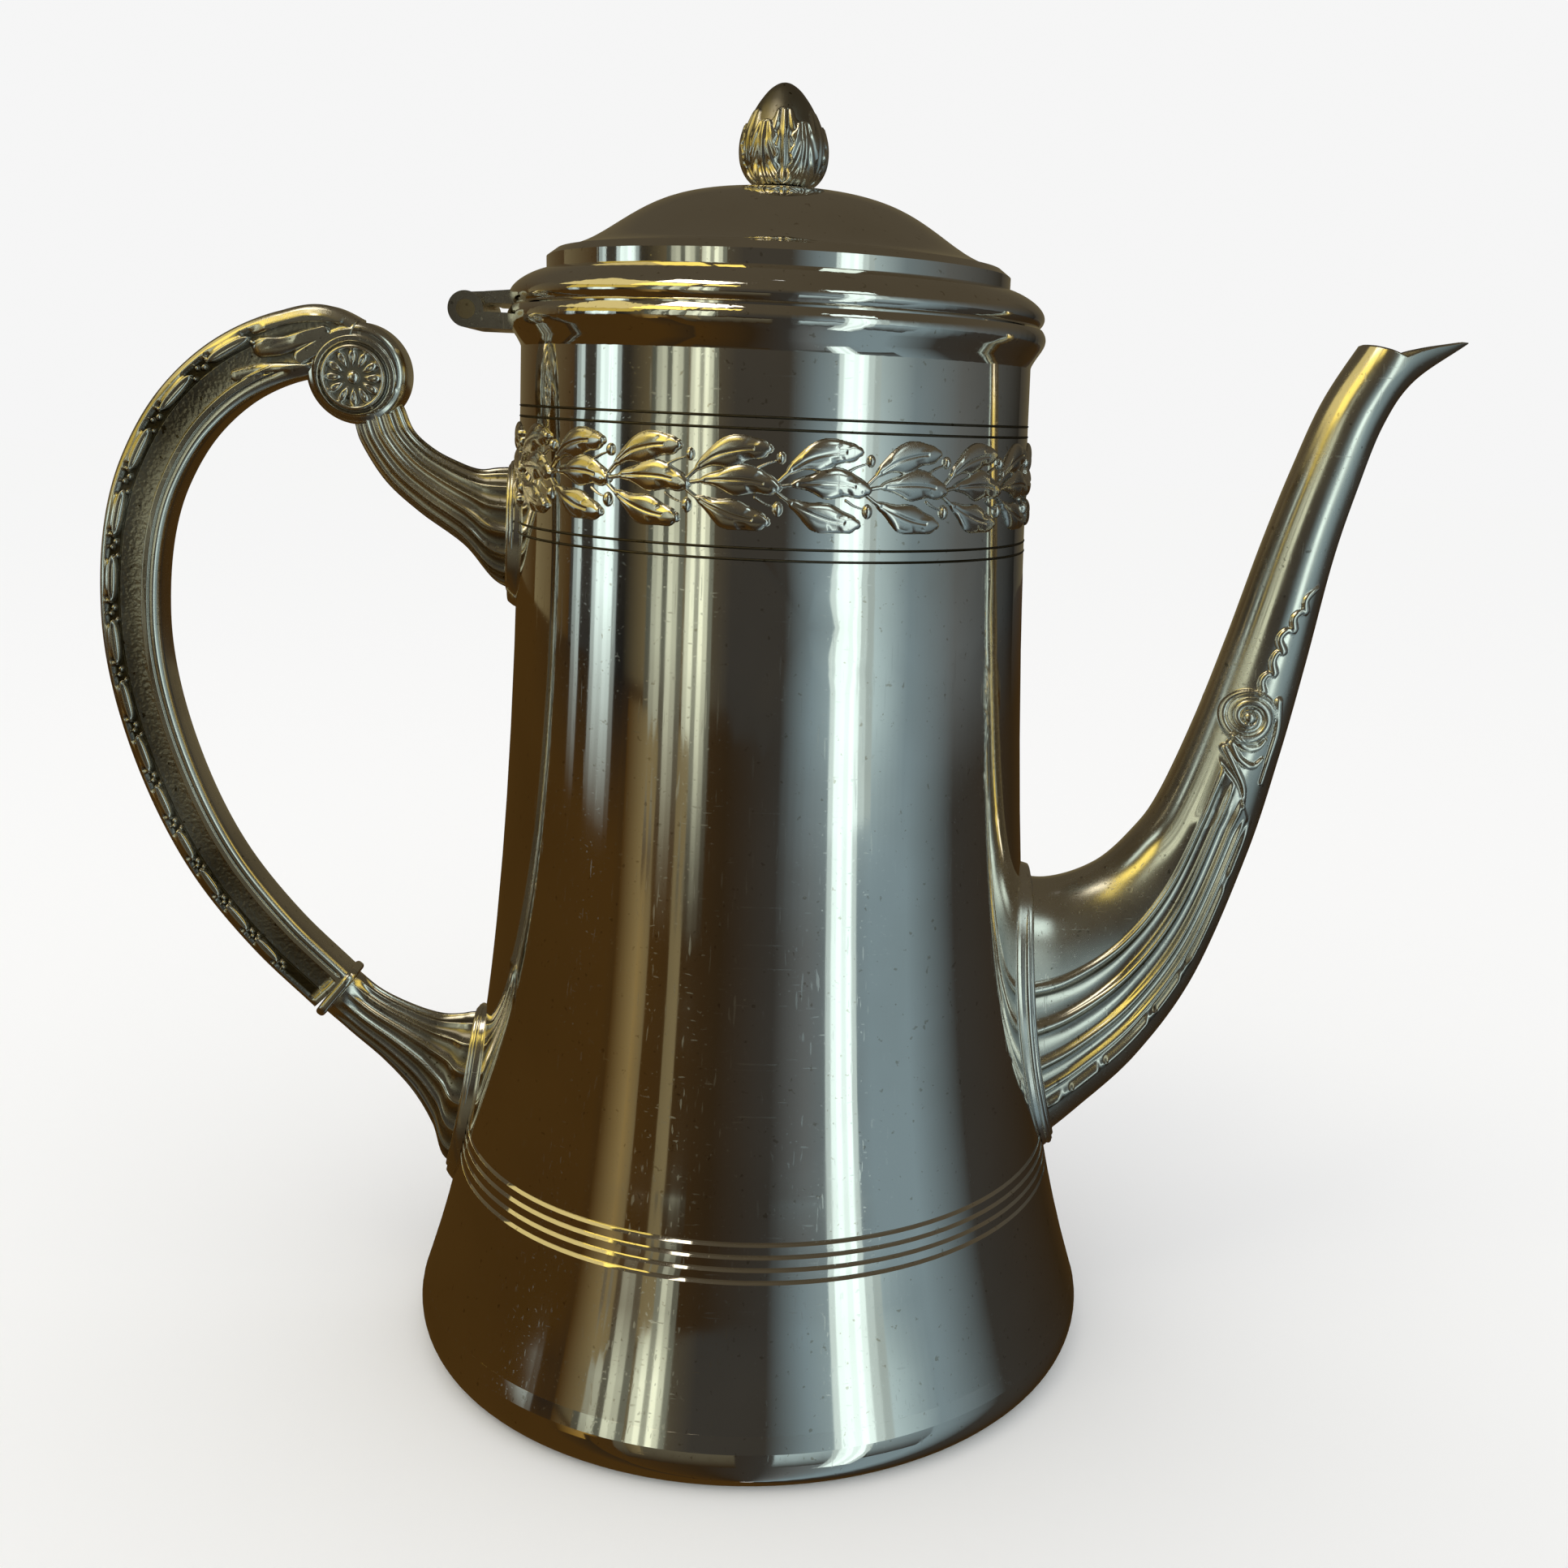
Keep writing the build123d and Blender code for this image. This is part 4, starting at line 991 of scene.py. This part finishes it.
def add_rosette(name, side, node):
    """A round flower in a frame on one side of the volute; side is -1 at the front."""
    turn = np.arange(264) * 2 * pi / 264
    radius = np.linspace(0, rosette_radius, 70)[1:]
    x, z = radius[:, None] * np.cos(turn), radius[:, None] * np.sin(turn)
    sector = 2 * pi / petals
    off = (turn + sector / 2) % sector - sector / 2
    cross = radius[:, None] * np.sin(off)
    out = radius[:, None] * np.cos(off) - 0.6 * rosette_radius
    half_width = 0.13 * rosette_radius * (1 + 0.35 * out / (0.26 * rosette_radius))
    oval = np.hypot(out / (0.27 * rosette_radius), cross / half_width)
    rim = dome(radius[:, None] - 0.925 * rosette_radius, 0.075 * rosette_radius)
    petal = dome(oval, 1.0) * 0.8 - 0.25 * np.exp(-((oval / 0.4) ** 2))
    boss = 0.8 * dome(radius[:, None], 0.2 * rosette_radius)
    height = 0.22 + 0.78 * np.maximum(np.maximum(rim, petal), boss)
    height = height * rosette_height
    edge = 1 - step_up(radius[:, None], 0.985 * rosette_radius, rosette_radius)
    height = np.maximum(height * edge, 0) - 0.3 * (1 - edge)
    y = side * (handle_depth / 2 + height)
    points = np.stack([volute_centre[0] + x, y, volute_centre[1] + z], axis=-1)
    faces = grid_faces(len(radius), len(turn), True)
    if side > 0:
        faces = faces[:, ::-1]
    faces = faces.tolist() + [list(range(len(turn)))[::side]]
    recess = np.clip(0.9 - height / rosette_height * 1.3, 0, 0.85)
    add_piece(name, "pot", "ornament_plate", points, faces, recess, [node])


add_rosette("rosette_front", -1, "handle_rosette_front")
add_rosette("rosette_back", 1, "handle_rosette_back")


# Frieze: a wreath of sprigs, drawn flat with x along the wall and z from the wreath's middle
sprig_count = 20
frieze_z = 153.5
frieze_low, frieze_high = -6.6, 7.4
frieze_radius = float(body_radius(frieze_z))
sprig_pitch = 2 * pi * frieze_radius / sprig_count
sprig_step = 0.13
node_turn = -90.5
leaves = (
    ([(0.2, 0.3), (2.4, 2.4), (5.0, 4.2), (8.4, 5.2), (12.6, 5.6)], 1.95, 2, 0.8),
    ([(0.2, 0.1), (3.4, 0.7), (7.0, 1.0), (10.5, 0.9), (13.9, 0.2)], 2.05, 2, 0.85),
    ([(0.1, -0.2), (2.4, -1.8), (5.4, -3.2), (8.8, -4.3), (12.4, -4.7)], 2.0, 2, 0.8),
)
berries = ((14.1, -2.9, 0.8, 1.1), (14.5, 4.3, 0.7, 0.95))
twigs = [
    [(10.8, 2.6), (12.4, 3.4), (14.2, 4.0)],
    [(10.8, -1.4), (12.2, -2.2), (13.6, -2.6)],
]


def leaf_relief(x, z, line, half_width, lobes, height):
    """A lobed leaf along a drawn line: a thin stem, a domed blade, a vein and slanting grooves."""
    distance, share, side = nearest_on(x, z, through(line, np.linspace(0, 1, 40)))
    body = np.clip(1 - np.abs((share - 0.6) / 0.415) ** 4.5, 0, 1) ** 0.5
    body *= 0.45 + 0.55 * step_up(share, 0.2, 0.55)
    wave = 1 + 0.15 * np.cos(2 * pi * lobes * (share - 0.04 * side - 0.12))
    width = np.maximum(half_width * body * wave, 0.32 * (share < 0.97))
    place = distance / np.maximum(width, 1e-3)
    rise = height * np.clip(1 - place**2.6, 0, 1) ** 0.6 * (0.55 + 0.45 * step_up(share, 0.05, 0.5))
    rise -= 0.14 * np.exp(-((distance / 0.2) ** 2)) * (share > 0.25) * (share < 0.86)
    slant = np.cos(2 * pi * lobes * (share - 0.10 * place - 0.04 * side) + pi)
    rise -= 0.12 * step_up(slant, 0.5, 1.0) * step_up(place, 0.15, 0.5) * (place < 1) * body
    return np.where(place < 1, rise, -1.0)


def frieze_relief(x, z):
    """The height of the wreath over the wall."""
    height = np.full(x.shape, -0.35)
    for shift in (0, sprig_pitch):
        for line, half_width, lobes, tall in leaves:
            height = np.maximum(height, leaf_relief(x + shift, z, line, half_width, lobes, tall))
        for berry_x, berry_z, half_x, half_z in berries:
            gap = np.hypot((x + shift - berry_x) / half_x, (z - berry_z) / half_z)
            height = np.maximum(height, np.where(gap < 1, 0.8 * dome(gap, 1.0), -1))
        twig = strokes(x + shift, z, twigs, 0.26, 0.35)
        height = np.maximum(height, np.where(twig > 0.02, twig, -1))
    for knot in (0, sprig_pitch):
        gap = np.hypot((x - knot) / 1.0, z / 0.8)
        height = np.maximum(height, np.where(gap < 1, 0.9 * dome(gap, 1.0), -1))
    return height


def add_frieze():
    """One sprig, repeated round the wall; faces that stay under the wall are left out."""
    columns = int(sprig_pitch / sprig_step)
    rows = int((frieze_high - frieze_low) / sprig_step)
    x, z = np.meshgrid(np.arange(columns) * sprig_pitch / columns, np.linspace(frieze_low, frieze_high, rows))
    height = np.tile(frieze_relief(x, z), (1, sprig_count))
    total = columns * sprig_count
    turn = radians(node_turn) + np.arange(total) * 2 * pi / total
    level = (frieze_z + z[:, :1]) * np.ones(total)
    radius = body_radius(level) + height
    points = np.stack([radius * np.cos(turn), radius * np.sin(turn), level], axis=-1).reshape(-1, 3)
    faces = grid_faces(rows, total, True)
    shown = (height.ravel()[faces] > -0.2).any(axis=1)
    faces = faces[shown]
    used, faces = np.unique(faces, return_inverse=True)
    recess = np.clip(0.75 - height * 3.4, 0, 0.75).ravel()[used]
    return add_piece(
        "frieze_wreath", "pot", "ornament_plate", points[used], faces.reshape(-1, 4), recess,
        ["leaf_frieze", "frieze_berries"],
    )


add_frieze()

# Tarnish that has settled in the fine engraved lines beside the wreath
fine_line_heights = (143.25, 144.9, 161.7, 163.35)
line_fill = 0.13
line_sink = 0.03
line_tarnish = 0.9
line_points = 240
for i, line_z in enumerate(fine_line_heights):
    turn = np.arange(line_points) * 2 * pi / line_points
    radius = float(body_radius(line_z)) - line_sink
    ring = np.stack([radius * np.cos(turn), radius * np.sin(turn), np.full(line_points, line_z)], axis=-1)
    fill = add_tube(f"engraved_line_{i}", "pot", "ornament_plate", ring, line_fill)
    fill.data.attributes["recess"].data.foreach_set("value", np.full(len(fill.data.vertices), line_tarnish))

# Finial: a bud in overlapping leaves
bud_line = np.array([
    (3.9, 198.8), (4.3, 199.0), (5.5, 200.0), (6.6, 202.0), (6.9, 204.0), (6.75, 206.0),
    (6.15, 208.0), (5.25, 210.0), (4.0, 212.0), (2.1, 214.0), (1.1, 214.55), (0.2, 214.75),
])
bud_leaves = 6
stud_radius = 2.0
stud_low = 192.4
bud_foot = 198.8
bud_sink = 0.22
# The two rounds of leaves: how far they stand out, half their width, their tip and their turn
leaf_rounds = ((0.2, 3.6, 210.4, 0.5), (0.42, 3.3, 208.4, 0.0))


def add_finial():
    """The bud with two rounds of leaves, and the stud that goes down through the lid."""
    columns = 288
    turn = np.arange(columns) * 2 * pi / columns
    line = through(bud_line, np.linspace(0, 1, 220))
    z = line[:, 1:2] * np.ones(columns)
    height = np.zeros(z.shape)
    for lift, half_width, tip, phase in leaf_rounds:
        sector = 2 * pi / bud_leaves
        off = ((turn + phase * sector + sector / 2) % sector - sector / 2)[None, :] * line[:, :1]
        share = np.clip((z - bud_foot) / (tip - bud_foot), 0, 1)
        lobes = 1 + 0.12 * np.cos(2 * pi * 4 * share)
        width = half_width * np.sqrt(np.clip(1 - share**2.4, 0, 1)) * (0.7 + 0.3 * share) * lobes
        inside = np.abs(off) / np.maximum(width, 1e-3)
        blade = lift * (1 - step_up(inside, 0.93, 1.02)) * (share < 1)
        rib = 0.14 * np.exp(-((off / 0.22) ** 2)) - 0.12 * np.exp(-(((np.abs(off) - 0.6) / 0.25) ** 2))
        veins = 0.09 * np.cos(2 * pi * (share * 2.5 + np.abs(off) * 0.75))
        blade += (rib + veins * step_up(np.abs(off), 0.3, 0.9)) * (inside < 0.95) * (share < 0.97)
        height = np.where(inside < 1.02, np.maximum(blade, height * (inside > 0.9)), height)
    height = np.where(z > 199.0, height, 0)
    radius = line[:, :1] + height - bud_sink
    bud = np.stack([radius * np.cos(turn), radius * np.sin(turn), z], axis=-1)
    stud_rows = np.array([(0.1, stud_low), (stud_radius, stud_low), (stud_radius, 198.7), (3.6, 198.75)])
    stud = np.stack([
        stud_rows[:, :1] * np.cos(turn), stud_rows[:, :1] * np.sin(turn), stud_rows[:, 1:2] * np.ones(columns)
    ], axis=-1)
    points = np.concatenate([stud, bud])
    recess = np.concatenate([np.zeros(stud.shape[:2]), np.clip(0.55 - height * 1.5, 0, 0.55)])
    faces = grid_faces(len(points), columns, True).tolist()
    faces.append(list(range(columns))[::-1])
    faces.append([(len(points) - 1) * columns + i for i in range(columns)])
    return add_piece("finial_bud", "lid", "cast_plate", points, faces, recess, ["finial"])


add_finial()
